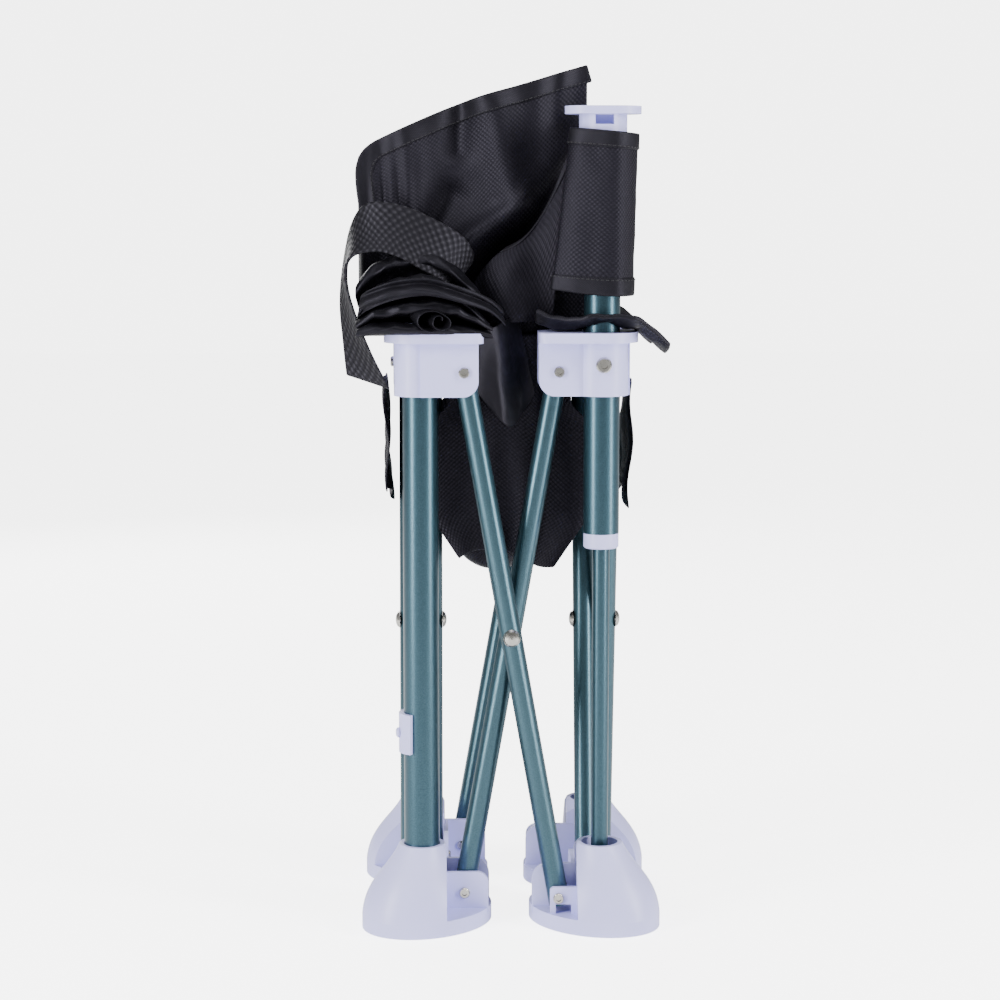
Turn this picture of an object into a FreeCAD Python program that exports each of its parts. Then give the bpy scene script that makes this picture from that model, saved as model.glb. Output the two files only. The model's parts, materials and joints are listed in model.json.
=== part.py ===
import FreeCAD, Part
import math
import os
import re
import Sketcher

# Child's folding camp seat, standing folded on its four feet. Four columns stand at the corners
# of a square. Each side holds a pair of crossed bars. +Z is up and the origin is on the floor,
# at the centre of the four columns. The front face looks along -Y, the seat's back is at -X.

os.makedirs("parts", exist_ok=True)
doc = FreeCAD.newDocument("folding_camp_seat")
sheet = doc.addObject("Spreadsheet::Sheet", "Sizes")

sizes = [
    ("post_spacing", 126.0, "folded distance between neighbouring posts"),
    ("post_diameter", 25.0, "outside of the four post tubes"),
    ("post_wall", 1.5, "wall of the post tubes"),
    ("bar_diameter", 15.0, "outside of the crossed bars"),
    ("bar_wall", 1.2, "wall of the crossed bars"),
    ("bar_overhang", 7.0, "length of a bar beyond its pivot"),
    ("bar_gap", 1.0, "gap between the two bars of one side"),
    ("pivot_offset", 30.0, "from a post's axis to the pivots beside it"),
    ("low_pivot_height", 22.0, "pivots in the feet"),
    ("pivot_rise", 371.0, "from the foot pivots up to the hub pivots, folded"),
    ("pin_radius", 2.0, "pivot screws"),
    ("rivet_radius", 2.5, "rivet where two bars cross"),
    ("rivet_head", 6.2, "radius of the rivet's head"),
    ("pin_play", 0.1, "radial play around pins, screws and rivets"),
    ("slot_play", 0.6, "play beside a bar in its bracket"),
    ("bracket_wall", 3.4, "ears of the foot and hub brackets"),
    ("foot_height", 58.0, "rim of the foot's socket"),
    ("foot_edge", 10.0, "upright edge of the foot"),
    ("foot_floor", 6.0, "floor of the socket"),
    ("foot_shelf", 11.0, "top of the foot below its brackets"),
    ("foot_long", 51.0, "half the foot along its diagonal"),
    ("foot_wide", 40.5, "half the foot across its diagonal"),
    ("foot_shift", 3.5, "foot's centre from the post's axis, in x and in y"),
    ("socket_play", 0.5, "play between a post and the foot's socket"),
    ("socket_wall", 3.2, "wall of the foot's socket"),
    ("boss_radius", 9.0, "boss inside the socket that holds a guide rod"),
    ("boss_height", 14.0, "height of that boss"),
    ("ear_reach", 48.0, "reach of the tall ears and the low outer one"),
    ("short_ear_reach", 36.0, "reach of the short ear"),
    ("tall_ear_top", 42.0, "top of the tall ears"),
    ("low_ear_top", 37.0, "top of the low ear"),
    ("short_ear_top", 30.0, "top of the short ear"),
    ("hub_drop", 17.0, "hub's lower face below its pivots"),
    ("hub_height", 44.0, "height of a hub with its flange"),
    ("hub_flange", 7.0, "thickness of the hub's flange"),
    ("hub_radius", 18.2, "hub around its post"),
    ("hub_play", 0.3, "play between a hub and its post"),
    ("hub_arm", 40.0, "reach of the hub's outer arm"),
    ("hub_inner_arm", 44.0, "reach of the hub's inner arm"),
    ("hub_corner", 11.0, "rounding of the arms' lower corners"),
    ("flange_radius", 25.0, "flange around the post"),
    ("flange_corner", 6.0, "rounding of the flange's corners"),
    ("hub_front_skin", 12.0, "inner arm's face from the post's axis"),
    ("arm_roof", 29.0, "height of the slot in a hub's arm"),
    ("post_screw_rise", 22.0, "screw through hub and post above the hub's lower face"),
    ("left_post_top", 424.0, "top of the posts that stand in the feet"),
    ("clip_bottom", 124.5, "lower edge of the stop clips"),
    ("clip_height", 28.0, "height of the stop clips"),
    ("clip_wall", 3.4, "thickness of the stop clips"),
    ("clip_turn", 100.0, "angle that a stop clip covers"),
    ("rod_radius", 6.0, "guide rods inside the right posts"),
    ("rod_top", 318.0, "top of the guide rods"),
    ("rod_play", 0.4, "play between a guide rod and its bush"),
    ("bush_bottom", 269.0, "lower face of the right posts' bushes"),
    ("bush_collar", 10.5, "height of the bush's collar"),
    ("plug_length", 15.0, "length of a plug inside a tube"),
    ("plug_play", 0.1, "play between a plug and its tube"),
    ("right_post_top", 560.0, "top of the posts that move with the hubs"),
    ("cap_neck_drop", 12.0, "cap's neck below the top of its post"),
    ("cap_neck_wall", 4.0, "wall of the cap's neck around the post"),
    ("cap_roof", 8.6, "from the post's top to the underside of the cap's flange"),
    ("cap_flange", 5.4, "thickness of the cap's flange"),
    ("cap_long", 52.5, "length of the cap's flange"),
    ("cap_wide", 37.0, "width of the cap's flange"),
    ("latch_width", 12.7, "latch window in the cap"),
    ("latch_height", 6.4, "height of the latch window"),
    ("latch_depth", 10.0, "depth of the latch window"),
    ("cloth_gap", 0.4, "clearance around soft pieces"),
    ("soft_overhang", 47.0, "reach of the soft pieces beyond the posts' axes"),
    ("sling_half", 36.0, "half the width of the folded seat"),
    ("sling_drop", 44.0, "from the hubs' lower face down to the seat's upper fold"),
    ("sling_sink", 8.0, "from the hubs' top down to the seat"),
    ("low_sling_half", 30.0, "half the width of the seat's lower fold"),
    ("low_sling_drop", 129.0, "from the hubs' lower face down to the seat's bottom"),
    ("low_sling_gap", 2.0, "between the seat's two folds"),
    ("skirt_inset", 18.0, "from the posts' axes to the ends of the skirts"),
    ("skirt_thick", 8.0, "thickness of a folded front or rear skirt"),
    ("side_skirt_thick", 10.0, "thickness of a folded side skirt"),
    ("skirt_clear", 1.5, "between the front and rear skirts and the bars"),
    ("side_skirt_clear", 2.3, "between the side skirts and the bars"),
    ("skirt_sink", 4.0, "from the hubs' lower face down to the skirts"),
    ("skirt_drop", 104.0, "from the hubs' lower face to the front skirt's edge"),
    ("side_skirt_drop", 76.0, "from the hubs' lower face to the side skirts' edge"),
    ("arm_inside", 42.0, "inner face of the folded side panels"),
    ("arm_outside", 60.0, "outer face of the folded side panels"),
    ("arm_back", 38.0, "back edge of the folded side panels"),
    ("arm_front", 16.0, "front edge of the folded side panels"),
    ("arm_low", 25.0, "lower edge of the side panels above the hubs"),
    ("arm_high", 90.0, "upper edge of the side panels above the hubs"),
    ("wing_inside", 30.0, "inner face of the backrest's wings"),
    ("wing_thick", 8.0, "thickness of the backrest's folded wings"),
    ("wing_overhang", 41.0, "backrest's back edge beyond the left posts' axes"),
    ("wing_inset", 13.0, "from the right posts' axes to the wings' edge"),
    ("wing_bottom", 430.0, "lower edge of the backrest"),
    ("wing_top", 602.0, "top of the backrest"),
    ("sleeve_bottom", 449.0, "lower edge of the post sleeves"),
    ("sleeve_top", 557.0, "upper edge of the post sleeves"),
    ("sleeve_clear", 0.5, "between a sleeve and the neck of its cap"),
    ("sleeve_thick", 4.0, "thickness of the post sleeves"),
    ("sleeve_flare", 1.0, "how much thicker a sleeve is at its lower edge"),
    ("gather_long", 35.0, "gathered cloth from the post's axis to the back"),
    ("gather_short", 19.0, "gathered cloth from the post's axis to the front"),
    ("gather_out", 24.0, "gathered cloth from the post's axis outwards"),
    ("gather_in", 13.0, "gathered cloth from the post's axis inwards"),
    ("gather_shift", 1.0, "gathered cloth's centre beyond the post's axis"),
    ("gather_tall", 19.0, "height of the gathered cloth"),
    ("gather_corner", 5.0, "corner radius of the gathered cloth"),
    ("plug_cap", 2.5, "height of a post plug's cap"),
    ("flap_inner", 30.0, "hub flap from the post's axis towards the seat"),
    ("flap_side", 34.0, "hub flap from the post's axis along its side"),
    ("flap_thick", 3.0, "thickness of the hub flaps"),
    ("flap_play", 1.0, "between a hub flap and its post"),
    ("strap_wide", 36.0, "width of the carrying strap"),
    ("strap_thick", 4.0, "thickness of the carrying strap"),
    ("strap_offset", 15.0, "strap's outer edge beyond the posts' axes"),
    ("strap_inner", 40.0, "end of the strap's loop from the centre"),
    ("strap_crown", 515.0, "top of the strap's loop"),
    ("strap_foot", 395.0, "lower end of the strap"),
    ("strap_end", 455.0, "free end of the strap's loop"),
    ("low_ear_corner", 8.0, "corner radius of the foot's inner ear"),
    ("tall_ear_corner", 12.0, "corner radius of the foot's outer ears"),
    ("short_ear_corner", 3.0, "corner radius of the foot's short ear"),
    ("key_radius", 1.8, "key socket of the pivot screws"),
    ("key_depth", 1.3, "depth of the key socket"),
    ("head_radius", 3.8, "head of the pivot screws"),
    ("head_height", 2.2, "height of the pivot screws' heads"),
    ("head_chamfer", 0.7, "chamfer of the screw heads"),
    ("head_gap", 0.05, "between a head or nut and its plate"),
    ("nut_radius", 3.4, "dome nuts of the pivot screws"),
    ("nut_height", 2.0, "height of the dome nuts"),
    ("post_key_radius", 2.6, "key socket of the screws through the posts"),
    ("post_head_radius", 5.4, "head of the screws through the posts"),
    ("post_head_height", 3.2, "height of those heads"),
]

for row, (alias, value, note) in enumerate(sizes, start=1):
    sheet.set(f"A{row}", alias)
    sheet.set(f"B{row}", str(value))
    sheet.set(f"C{row}", note)
    sheet.setAlias(f"B{row}", alias)
doc.recompute()
aliases = {alias for alias, value, note in sizes}
corner_signs = [(-1, -1), (1, -1), (1, 1), (-1, 1)]
corner_names = ["front_left", "front_right", "rear_right", "rear_left"]
side_names = ["front", "right", "rear", "left"]
nodes = []


def linked(formula):
    """Put the sheet's name before every alias in a formula."""
    def named(word):
        return "Sizes." + word[0] if word[0] in aliases else word[0]

    return re.sub(r"[a-z][a-z_]+", named, formula)


def bind(item, **formulas):
    for prop, formula in formulas.items():
        item.setExpression(prop, linked(formula))


def at(item, x="0", y="0", z="0"):
    """Tie an object's place to the sheet."""
    for axis, formula in (("x", x), ("y", y), ("z", z)):
        item.setExpression("Placement.Base." + axis, linked(formula))


def box(name, x, y, z):
    """Block between two formulas on each axis."""
    item = doc.addObject("Part::Box", name)
    length, width, height = (f"({high}) - ({low})" for low, high in (x, y, z))
    bind(item, Length=length, Width=width, Height=height)
    at(item, x[0], y[0], z[0])
    return item


def rod(name, radius, start, length, along="z"):
    """Cylinder from a start point along one axis."""
    item = doc.addObject("Part::Cylinder", name)
    bind(item, Radius=radius, Height=length)
    turns = {"z": FreeCAD.Rotation(), "x": FreeCAD.Rotation(FreeCAD.Vector(0, 1, 0), 90),
             "y": FreeCAD.Rotation(FreeCAD.Vector(1, 0, 0), -90)}
    item.Placement = FreeCAD.Placement(FreeCAD.Vector(), turns[along])
    at(item, *start)
    return item


def fuse(name, items):
    item = doc.addObject("Part::MultiFuse", name)
    item.Shapes = items
    return item


def cut(name, base, tools):
    item = doc.addObject("Part::Cut", name)
    item.Base = base
    item.Tool = tools[0] if len(tools) == 1 else fuse(name + "_tools", tools)
    return item


def group(name, items):
    item = doc.addObject("Part::Compound", name)
    item.Links = items
    return item


def turned(name, outline, along="z"):
    """Body turned from a closed outline of (radius, height) formulas."""
    body = doc.addObject("PartDesign::Body", name)
    sketch = body.newObject("Sketcher::SketchObject", name + "_outline")
    planes = {feature.Role: feature for feature in body.Origin.OriginFeatures}
    sketch.AttachmentSupport = [(planes["XZ_Plane"], "")]
    sketch.MapMode = "FlatFace"
    points = [FreeCAD.Vector(worth(radius), worth(height), 0) for radius, height in outline]
    for index, point in enumerate(points):
        following = points[(index + 1) % len(points)]
        sketch.addGeometry(Part.LineSegment(point, following))
    for index in range(len(points)):
        sketch.addConstraint(Sketcher.Constraint("Coincident", index, 2, (index + 1) % len(points), 1))
    for index, (radius, height) in enumerate(outline):
        across = ("DistanceX", radius, points[index].x)
        upward = ("DistanceY", height, points[index].y)
        for kind, formula, value in (across, upward):
            place = sketch.addConstraint(Sketcher.Constraint(kind, -1, 1, index, 1, value))
            sketch.setExpression(f"Constraints[{place}]", linked(formula))
    turn = body.newObject("PartDesign::Revolution", name + "_turn")
    turn.Profile = sketch
    turn.ReferenceAxis = (planes["Z_Axis"], [""])
    turn.Angle = 360
    turns = {"z": FreeCAD.Rotation(), "x": FreeCAD.Rotation(FreeCAD.Vector(0, 1, 0), 90),
             "y": FreeCAD.Rotation(FreeCAD.Vector(1, 0, 0), -90)}
    body.Placement = FreeCAD.Placement(FreeCAD.Vector(), turns[along])
    return body


def worth(formula):
    """Value of a formula of aliases and numbers."""
    return float(sheet.evalExpression(linked(formula)))


def keep(item, name):
    """Make an object a finished sub-part with its own label."""
    item.Label = name
    nodes.append(item)


def stand(item, corner, z="0"):
    """Turn an object to face its corner of the square and stand it on that post's axis."""
    facing = FreeCAD.Rotation(FreeCAD.Vector(0, 0, 1), 90 * corner)
    item.Placement = FreeCAD.Placement(FreeCAD.Vector(), facing)
    sign_x, sign_y = corner_signs[corner]
    at(item, f"{sign_x} * post_spacing / 2", f"{sign_y} * post_spacing / 2", z)


def upright_plate(name, reach, sides, bottom, top, radius):
    """Plate along +X from the post's axis, its outer corner rounded at the top or the bottom.

    The corner is rounded at the top when bottom is below top, and at the bottom when the two
    are given the other way round."""
    low, high = (bottom, top) if worth(top) > worth(bottom) else (top, bottom)
    down = worth(top) < worth(bottom)
    inner = (f"{low} + {radius}", high) if down else (low, f"{high} - {radius}")
    middle = f"{low} + {radius}" if down else f"{high} - {radius}"
    long = box(name + "_long", ("0", reach), sides, inner)
    short = box(name + "_short", ("0", f"{reach} - {radius}"), sides, (low, high))
    corner = rod(name + "_corner", radius, (f"{reach} - {radius}", sides[0], middle),
                 f"({sides[1]}) - ({sides[0]})", along="y")
    return fuse(name, [long, short, corner])


def flange_tab(name, reach, sides, bottom, top, radius):
    """Flat tab along +X with two rounded corners."""
    inner_sides = (f"{sides[0]} + {radius}", f"{sides[1]} - {radius}")
    inner_reach = f"{reach} - {radius}"
    thickness = f"{top} - ({bottom})"
    long = box(name + "_long", ("0", reach), inner_sides, (bottom, top))
    short = box(name + "_short", ("0", inner_reach), sides, (bottom, top))
    near = rod(name + "_near", radius, (inner_reach, inner_sides[0], bottom), thickness)
    far = rod(name + "_far", radius, (inner_reach, inner_sides[1], bottom), thickness)
    return fuse(name, [long, short, near, far])


def quarter_turn(item):
    """Turn a piece made along +X so that it lies along +Y."""
    item.Placement = FreeCAD.Placement(FreeCAD.Vector(), FreeCAD.Rotation(FreeCAD.Vector(0, 0, 1), 90))
    return item


def oval(name, scale, shift, height):
    """Oval across the foot's diagonal."""
    item = doc.addObject("Part::Ellipse", name)
    bind(item, MajorRadius=f"foot_long * {scale}", MinorRadius=f"foot_wide * {scale}")
    item.Placement = FreeCAD.Placement(FreeCAD.Vector(), FreeCAD.Rotation(FreeCAD.Vector(0, 0, 1), 45))
    at(item, f"foot_shift * {shift}", f"foot_shift * {shift}", height)
    return item


def loft(name, sections, ruled):
    item = doc.addObject("Part::Loft", name)
    item.Sections = sections
    item.Solid = True
    item.Ruled = ruled
    return item


post_radius = "post_diameter / 2"
bar_radius = "bar_diameter / 2"
bar_plane = "(bar_diameter / 2 + bar_gap / 2)"
slot_half = "(bar_diameter / 2 + slot_play)"
socket_bore = "(post_diameter / 2 + socket_play)"
socket_radius = "(post_diameter / 2 + socket_play + socket_wall)"
hub_bottom = "(low_pivot_height + pivot_rise - hub_drop)"
hub_top = "(low_pivot_height + pivot_rise - hub_drop + hub_height)"
pin_bore = "(pin_radius + pin_play)"
soft_reach = "(post_spacing / 2 + soft_overhang)"
skirt_half = "(post_spacing / 2 - skirt_inset)"
skirt_outside = "(post_spacing / 2 - bar_gap / 2 - bar_diameter - skirt_clear)"
side_skirt_inside = "(post_spacing / 2 + bar_gap / 2 + bar_diameter + side_skirt_clear)"
sleeve_inside = "(post_diameter / 2 + cap_neck_wall + sleeve_clear)"
wing_left = "(post_spacing / 2 + wing_overhang)"
wing_right = "(post_spacing / 2 - wing_inset)"
margin = 1  # a cutting tool reaches this far past the piece that it cuts


# Feet. Bracket A lies along +X and holds an inner bar. Bracket B lies along +Y and holds an
# outer bar. The same foot stands at all four corners, turned a quarter each time.

def foot_bracket(name, near_ear, far_ear):
    """Two ears along +X; each is (reach, top, corner radius)."""
    near_sides = (f"{bar_plane} - {slot_half} - bracket_wall", f"{bar_plane} - {slot_half}")
    far_sides = (f"{bar_plane} + {slot_half}", f"{bar_plane} + {slot_half} + bracket_wall")
    near = upright_plate(name + "_near_ear", near_ear[0], near_sides, "foot_floor", near_ear[1], near_ear[2])
    far = upright_plate(name + "_far_ear", far_ear[0], far_sides, "foot_floor", far_ear[1], far_ear[2])
    return fuse(name, [near, far])


def make_foot(corner):
    name = corner_names[corner] + "_foot"
    sole = oval(name + "_oval_1", 1, 1, "0")
    edge = oval(name + "_oval_2", 1, 1, "foot_edge")
    base = loft(name + "_edge", [sole, edge], True)
    rim = doc.addObject("Part::Circle", name + "_rim")
    bind(rim, Radius=socket_radius)
    at(rim, z="foot_height")
    dome = loft(name + "_dome", [
        oval(name + "_oval_3", 1, 1, "foot_edge"),
        oval(name + "_oval_4", 0.84, 0.8, "foot_edge + (foot_height - foot_edge) * 0.42"),
        oval(name + "_oval_5", 0.56, 0.3, "foot_edge + (foot_height - foot_edge) * 0.73"),
        rim], False)
    reach = "foot_long + foot_shift * 2"
    above = ("foot_shelf", "foot_height + 1")
    clear_a = box(name + "_clear_a", (f"{socket_radius} + 1", reach), (f"-({reach})", reach), above)
    clear_b = box(name + "_clear_b", (f"-({reach})", reach), (f"{socket_radius} + 1", reach), above)
    shell = cut(name + "_shell", dome, [clear_a, clear_b])
    socket = rod(name + "_socket", socket_radius, ("0", "0", "foot_floor"), "foot_height - foot_floor")
    low_ear = ("ear_reach - 1", "low_ear_top", "low_ear_corner")
    tall_ear = ("ear_reach", "tall_ear_top", "tall_ear_corner")
    short_ear = ("short_ear_reach", "short_ear_top", "short_ear_corner")
    bracket_a = foot_bracket(name + "_bracket_a", low_ear, tall_ear)
    bracket_b = quarter_turn(foot_bracket(name + "_bracket_b", tall_ear, short_ear))
    body = fuse(name + "_body", [base, shell, socket, bracket_a, bracket_b])
    bore = rod(name + "_bore", socket_bore, ("0", "0", "foot_floor"), "foot_height")
    slot_sides = (f"{bar_plane} - {slot_half}", f"{bar_plane} + {slot_half}")
    slot_a = box(name + "_slot_a", (f"{socket_radius} + 0.5", reach), slot_sides, above)
    slot_b = box(name + "_slot_b", (f"-{bar_plane} - {slot_half}", f"-{bar_plane} + {slot_half}"),
                 (f"{socket_radius} + 0.5", reach), above)
    pin_sides = (f"{bar_plane} - {slot_half} - bracket_wall - 1", f"({slot_half} + bracket_wall + 1) * 2")
    pin_a_place = ("pivot_offset", pin_sides[0], "low_pivot_height")
    pin_a = rod(name + "_pin_a", pin_bore, pin_a_place, pin_sides[1], "y")
    pin_b_start = f"-({bar_plane} - {slot_half} - bracket_wall - 1) - {pin_sides[1]}"
    pin_b_place = (pin_b_start, "pivot_offset", "low_pivot_height")
    pin_b = rod(name + "_pin_b", pin_bore, pin_b_place, pin_sides[1], "x")
    window_depth = (f"-({bar_plane} + {slot_half} + bracket_wall + 1)", f"-({bar_plane} + {slot_half})")
    window_sides = ("pivot_offset - 9", "pivot_offset + 2")
    window_height = ("foot_shelf", "low_pivot_height - pin_radius * 2.2")
    window = box(name + "_window", window_depth, window_sides, window_height)
    hollow = cut(name + "_hollow", body, [bore, slot_a, slot_b, pin_a, pin_b, window])
    boss = rod(name + "_boss", "boss_radius", ("0", "0", "foot_floor - 1"), "boss_height + 1")
    bossed = fuse(name + "_bossed", [hollow, boss])
    rod_seat = rod(name + "_rod_seat", "rod_radius", ("0", "0", "foot_floor"), "boss_height + 1")
    whole = cut(name, bossed, [rod_seat])
    stand(whole, corner)
    keep(whole, name)


def pivot_screw(name, head_face, span, along):
    """Screw with a socket head below its zero and a dome nut beyond its span."""
    key_floor = "-(head_height - key_depth)"
    outline = [("0", key_floor), ("key_radius", key_floor), ("key_radius", "-head_height"),
               ("head_radius - head_chamfer", "-head_height"),
               ("head_radius", "-(head_height - head_chamfer)"), ("head_radius", "-head_gap"),
               ("pin_radius", "-head_gap"), ("pin_radius", f"{span} + head_gap"),
               ("nut_radius", f"{span} + head_gap"), ("nut_radius", f"{span} + nut_height * 0.6"),
               ("pin_radius", f"{span} + nut_height"), ("0", f"{span} + nut_height")]
    screw = turned(name, outline, along)
    at(screw, *head_face)
    return screw


def make_foot_screws(corner):
    name = corner_names[corner] + "_foot_screws"
    span = f"({slot_half} + bracket_wall) * 2"
    outside_a = f"{bar_plane} - {slot_half} - bracket_wall"
    screw_a = pivot_screw(name + "_a", ("pivot_offset", outside_a, "low_pivot_height"), span, "y")
    outside_b = f"-({bar_plane} + {slot_half} + bracket_wall)"
    screw_b = pivot_screw(name + "_b", (outside_b, "pivot_offset", "low_pivot_height"), span, "x")
    pair = group(name, [screw_a, screw_b])
    stand(pair, corner)
    keep(pair, name)


# Hubs. The outer arm lies along +X and holds the top of an outer bar, the inner arm lies along
# +Y and holds the top of an inner bar.

def make_hub(corner):
    name = corner_names[corner] + "_hub"
    low_side = f"-{bar_plane} - {slot_half} - bracket_wall"
    high_side = f"-{bar_plane} + {slot_half} + bracket_wall"
    plate_top = "hub_height - hub_flange"
    barrel = rod(name + "_barrel", "hub_radius", ("0", "0", "0"), "hub_height")
    arm_a = upright_plate(name + "_arm_a", "hub_arm", (low_side, high_side), plate_top, "0", "hub_corner")
    arm_b = quarter_turn(upright_plate(name + "_arm_b", "hub_inner_arm", (low_side, "hub_front_skin"),
                                       plate_top, "0", "hub_corner"))
    disc = rod(name + "_disc", "flange_radius", ("0", "0", plate_top), "hub_flange")
    tab_a = flange_tab(name + "_tab_a", "hub_inner_arm - 0.5", ("-flange_radius", "8"), plate_top,
                       "hub_height", "flange_corner")
    tab_b_sides = ("-flange_radius + 1", "flange_radius - 1")
    tab_b = quarter_turn(flange_tab(name + "_tab_b", "hub_inner_arm", tab_b_sides, plate_top, "hub_height",
                                    "flange_corner"))
    body = fuse(name + "_body", [barrel, arm_a, arm_b, disc, tab_a, tab_b])
    bore = rod(name + "_bore", f"{post_radius} + hub_play", ("0", "0", "-1"), "hub_height + 2")
    slot_sides = (f"-{bar_plane} - {slot_half}", f"-{bar_plane} + {slot_half}")
    slot_a = box(name + "_slot_a", ("hub_radius + 0.3", "hub_inner_arm + 9"), slot_sides, ("-1", "arm_roof"))
    slot_b = box(name + "_slot_b", (f"{bar_plane} - {slot_half}", f"{bar_plane} + {slot_half}"),
                 ("hub_radius + 0.3", "hub_inner_arm + 9"), ("-1", "arm_roof"))
    pin_a = rod(name + "_pin_a", pin_bore, ("pivot_offset", f"{low_side} - 1", "hub_drop"),
                f"({slot_half} + bracket_wall + 1) * 2", "y")
    pin_b = rod(name + "_pin_b", pin_bore, ("-hub_front_skin - 1", "pivot_offset", "hub_drop"),
                f"{bar_plane} + {slot_half} + bracket_wall + hub_front_skin + 2", "x")
    holes = [bore, slot_a, slot_b, pin_a, pin_b]
    if corner in (1, 2):
        hole_start = ("-hub_radius - 1", "0", "post_screw_rise")
        hole_radius = "rivet_radius + pin_play"
        holes.append(rod(name + "_post_screw_hole", hole_radius, hole_start, "hub_radius", "x"))
    whole = cut(name, body, holes)
    stand(whole, corner, hub_bottom)
    keep(whole, name)


def make_hub_screws(corner):
    name = corner_names[corner] + "_hub_screws"
    span_a = f"({slot_half} + bracket_wall) * 2"
    outside_a = f"-{bar_plane} - {slot_half} - bracket_wall"
    screw_a = pivot_screw(name + "_a", ("pivot_offset", outside_a, "hub_drop"), span_a, "y")
    span_b = f"{bar_plane} + {slot_half} + bracket_wall + hub_front_skin"
    screw_b = pivot_screw(name + "_b", ("-hub_front_skin", "pivot_offset", "hub_drop"), span_b, "x")
    screws = [screw_a, screw_b]
    if corner in (1, 2):
        tip = "hub_radius - post_diameter / 2 + post_wall + 1"
        shoulder = "-head_gap * 2"
        outline = [("0", "-(post_head_height - 1.8)"), ("post_key_radius", "-(post_head_height - 1.8)"),
                   ("post_key_radius", "-post_head_height"), ("post_head_radius - 1", "-post_head_height"),
                   ("post_head_radius", "-(post_head_height - 1)"), ("post_head_radius", shoulder),
                   ("rivet_radius", shoulder), ("rivet_radius", tip), ("0", tip)]
        post_screw = turned(name + "_post", outline, "x")
        at(post_screw, "-hub_radius", "0", "post_screw_rise")
        screws.append(post_screw)
    pack = group(name, screws)
    stand(pack, corner, hub_bottom)
    keep(pack, name)


# Crossed bars. Each side of the square is made facing -Y and turned to its place: the inner bar
# leans to the right from the left foot, and the outer bar leans to the left from the right foot.

half_spacing = "post_spacing / 2"
bar_run = worth("post_spacing - 2 * pivot_offset")
bar_rise = worth("pivot_rise")
bar_lean = math.degrees(math.atan2(bar_run, bar_rise))
bar_length = "sqrt((post_spacing - 2 * pivot_offset)^2 + pivot_rise^2)"


def make_bar(side, inner):
    name = side_names[side] + ("_inner_bar" if inner else "_outer_bar")
    whole_length = f"{bar_length} + 2 * bar_overhang"
    across = "bar_diameter * 2"
    outside = rod(name + "_outside", bar_radius, ("0", "0", "-bar_overhang"), whole_length)
    inside = rod(name + "_inside", f"{bar_radius} - bar_wall", ("0", "0", "-bar_overhang - 1"),
                 f"{whole_length} + 2")
    low_hole = rod(name + "_low_hole", pin_bore, ("0", "-bar_diameter", "0"), across, "y")
    high_hole = rod(name + "_high_hole", pin_bore, ("0", "-bar_diameter", bar_length), across, "y")
    mid_place = ("0", "-bar_diameter", f"{bar_length} / 2")
    mid_hole = rod(name + "_mid_hole", "rivet_radius + pin_play", mid_place, across, "y")
    bar = cut(name, outside, [inside, low_hole, high_hole, mid_hole])
    facing = 1 if inner else -1
    foot_x = -facing * bar_run / 2
    foot_y = -worth(half_spacing) + facing * worth(bar_plane)
    foot_place = FreeCAD.Vector(foot_x, foot_y, worth("low_pivot_height"))
    lean = FreeCAD.Rotation(FreeCAD.Vector(0, 1, 0), facing * bar_lean)
    turn = FreeCAD.Placement(FreeCAD.Vector(), FreeCAD.Rotation(FreeCAD.Vector(0, 0, 1), 90 * side))
    bar.Placement = turn.multiply(FreeCAD.Placement(foot_place, lean))
    keep(bar, name)


def make_rivet(side):
    name = side_names[side] + "_rivet"
    face = f"({bar_plane} + {bar_radius} + 0.1)"
    spacer = "bar_gap / 2 - 0.05"
    crown = [("rivet_head", "0"), ("4.8", "1.8"), ("2.6", "2.7"), ("0", "3")]
    low_crown = [(radius, f"-{face} - {height}") for radius, height in reversed(crown)]
    high_crown = [(radius, f"{face} + {height}") for radius, height in crown]
    waist = [("rivet_radius", f"-{face}"), ("rivet_radius", f"-({spacer})"), ("5", f"-({spacer})"),
             ("5", spacer), ("rivet_radius", spacer), ("rivet_radius", face)]
    outline = low_crown + waist + high_crown
    rivet = turned(name + "_turned", outline, "y")
    at(rivet, "0", "-post_spacing / 2", "low_pivot_height + pivot_rise / 2")
    whole = group(name, [rivet])
    facing = FreeCAD.Rotation(FreeCAD.Vector(0, 0, 1), 90 * side)
    whole.Placement = FreeCAD.Placement(FreeCAD.Vector(), facing)
    keep(whole, name)


# Posts. The left posts stand in their feet and their hubs slide on them. The right posts are
# screwed to their hubs and come down over guide rods into their feet.

def make_left_post(corner):
    name = corner_names[corner] + "_post"
    outside = rod(name + "_outside", post_radius, ("0", "0", "foot_floor"), "left_post_top - foot_floor")
    inside = rod(name + "_inside", f"{post_radius} - post_wall", ("0", "0", "0"), "left_post_top + 1")
    post = cut(name, outside, [inside])
    stand(post, corner)
    keep(post, name)
    plug_name = corner_names[corner] + "_post_plug"
    fit = f"{post_radius} - post_wall - plug_play"
    outline = [("0", "-plug_length"), (fit, "-plug_length"), (fit, "0"), (post_radius, "0"),
               (f"{post_radius} - 0.8", "plug_cap"), ("0", "plug_cap")]
    plug = turned(plug_name, outline)
    stand(plug, corner, "left_post_top")
    keep(plug, plug_name)


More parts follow.
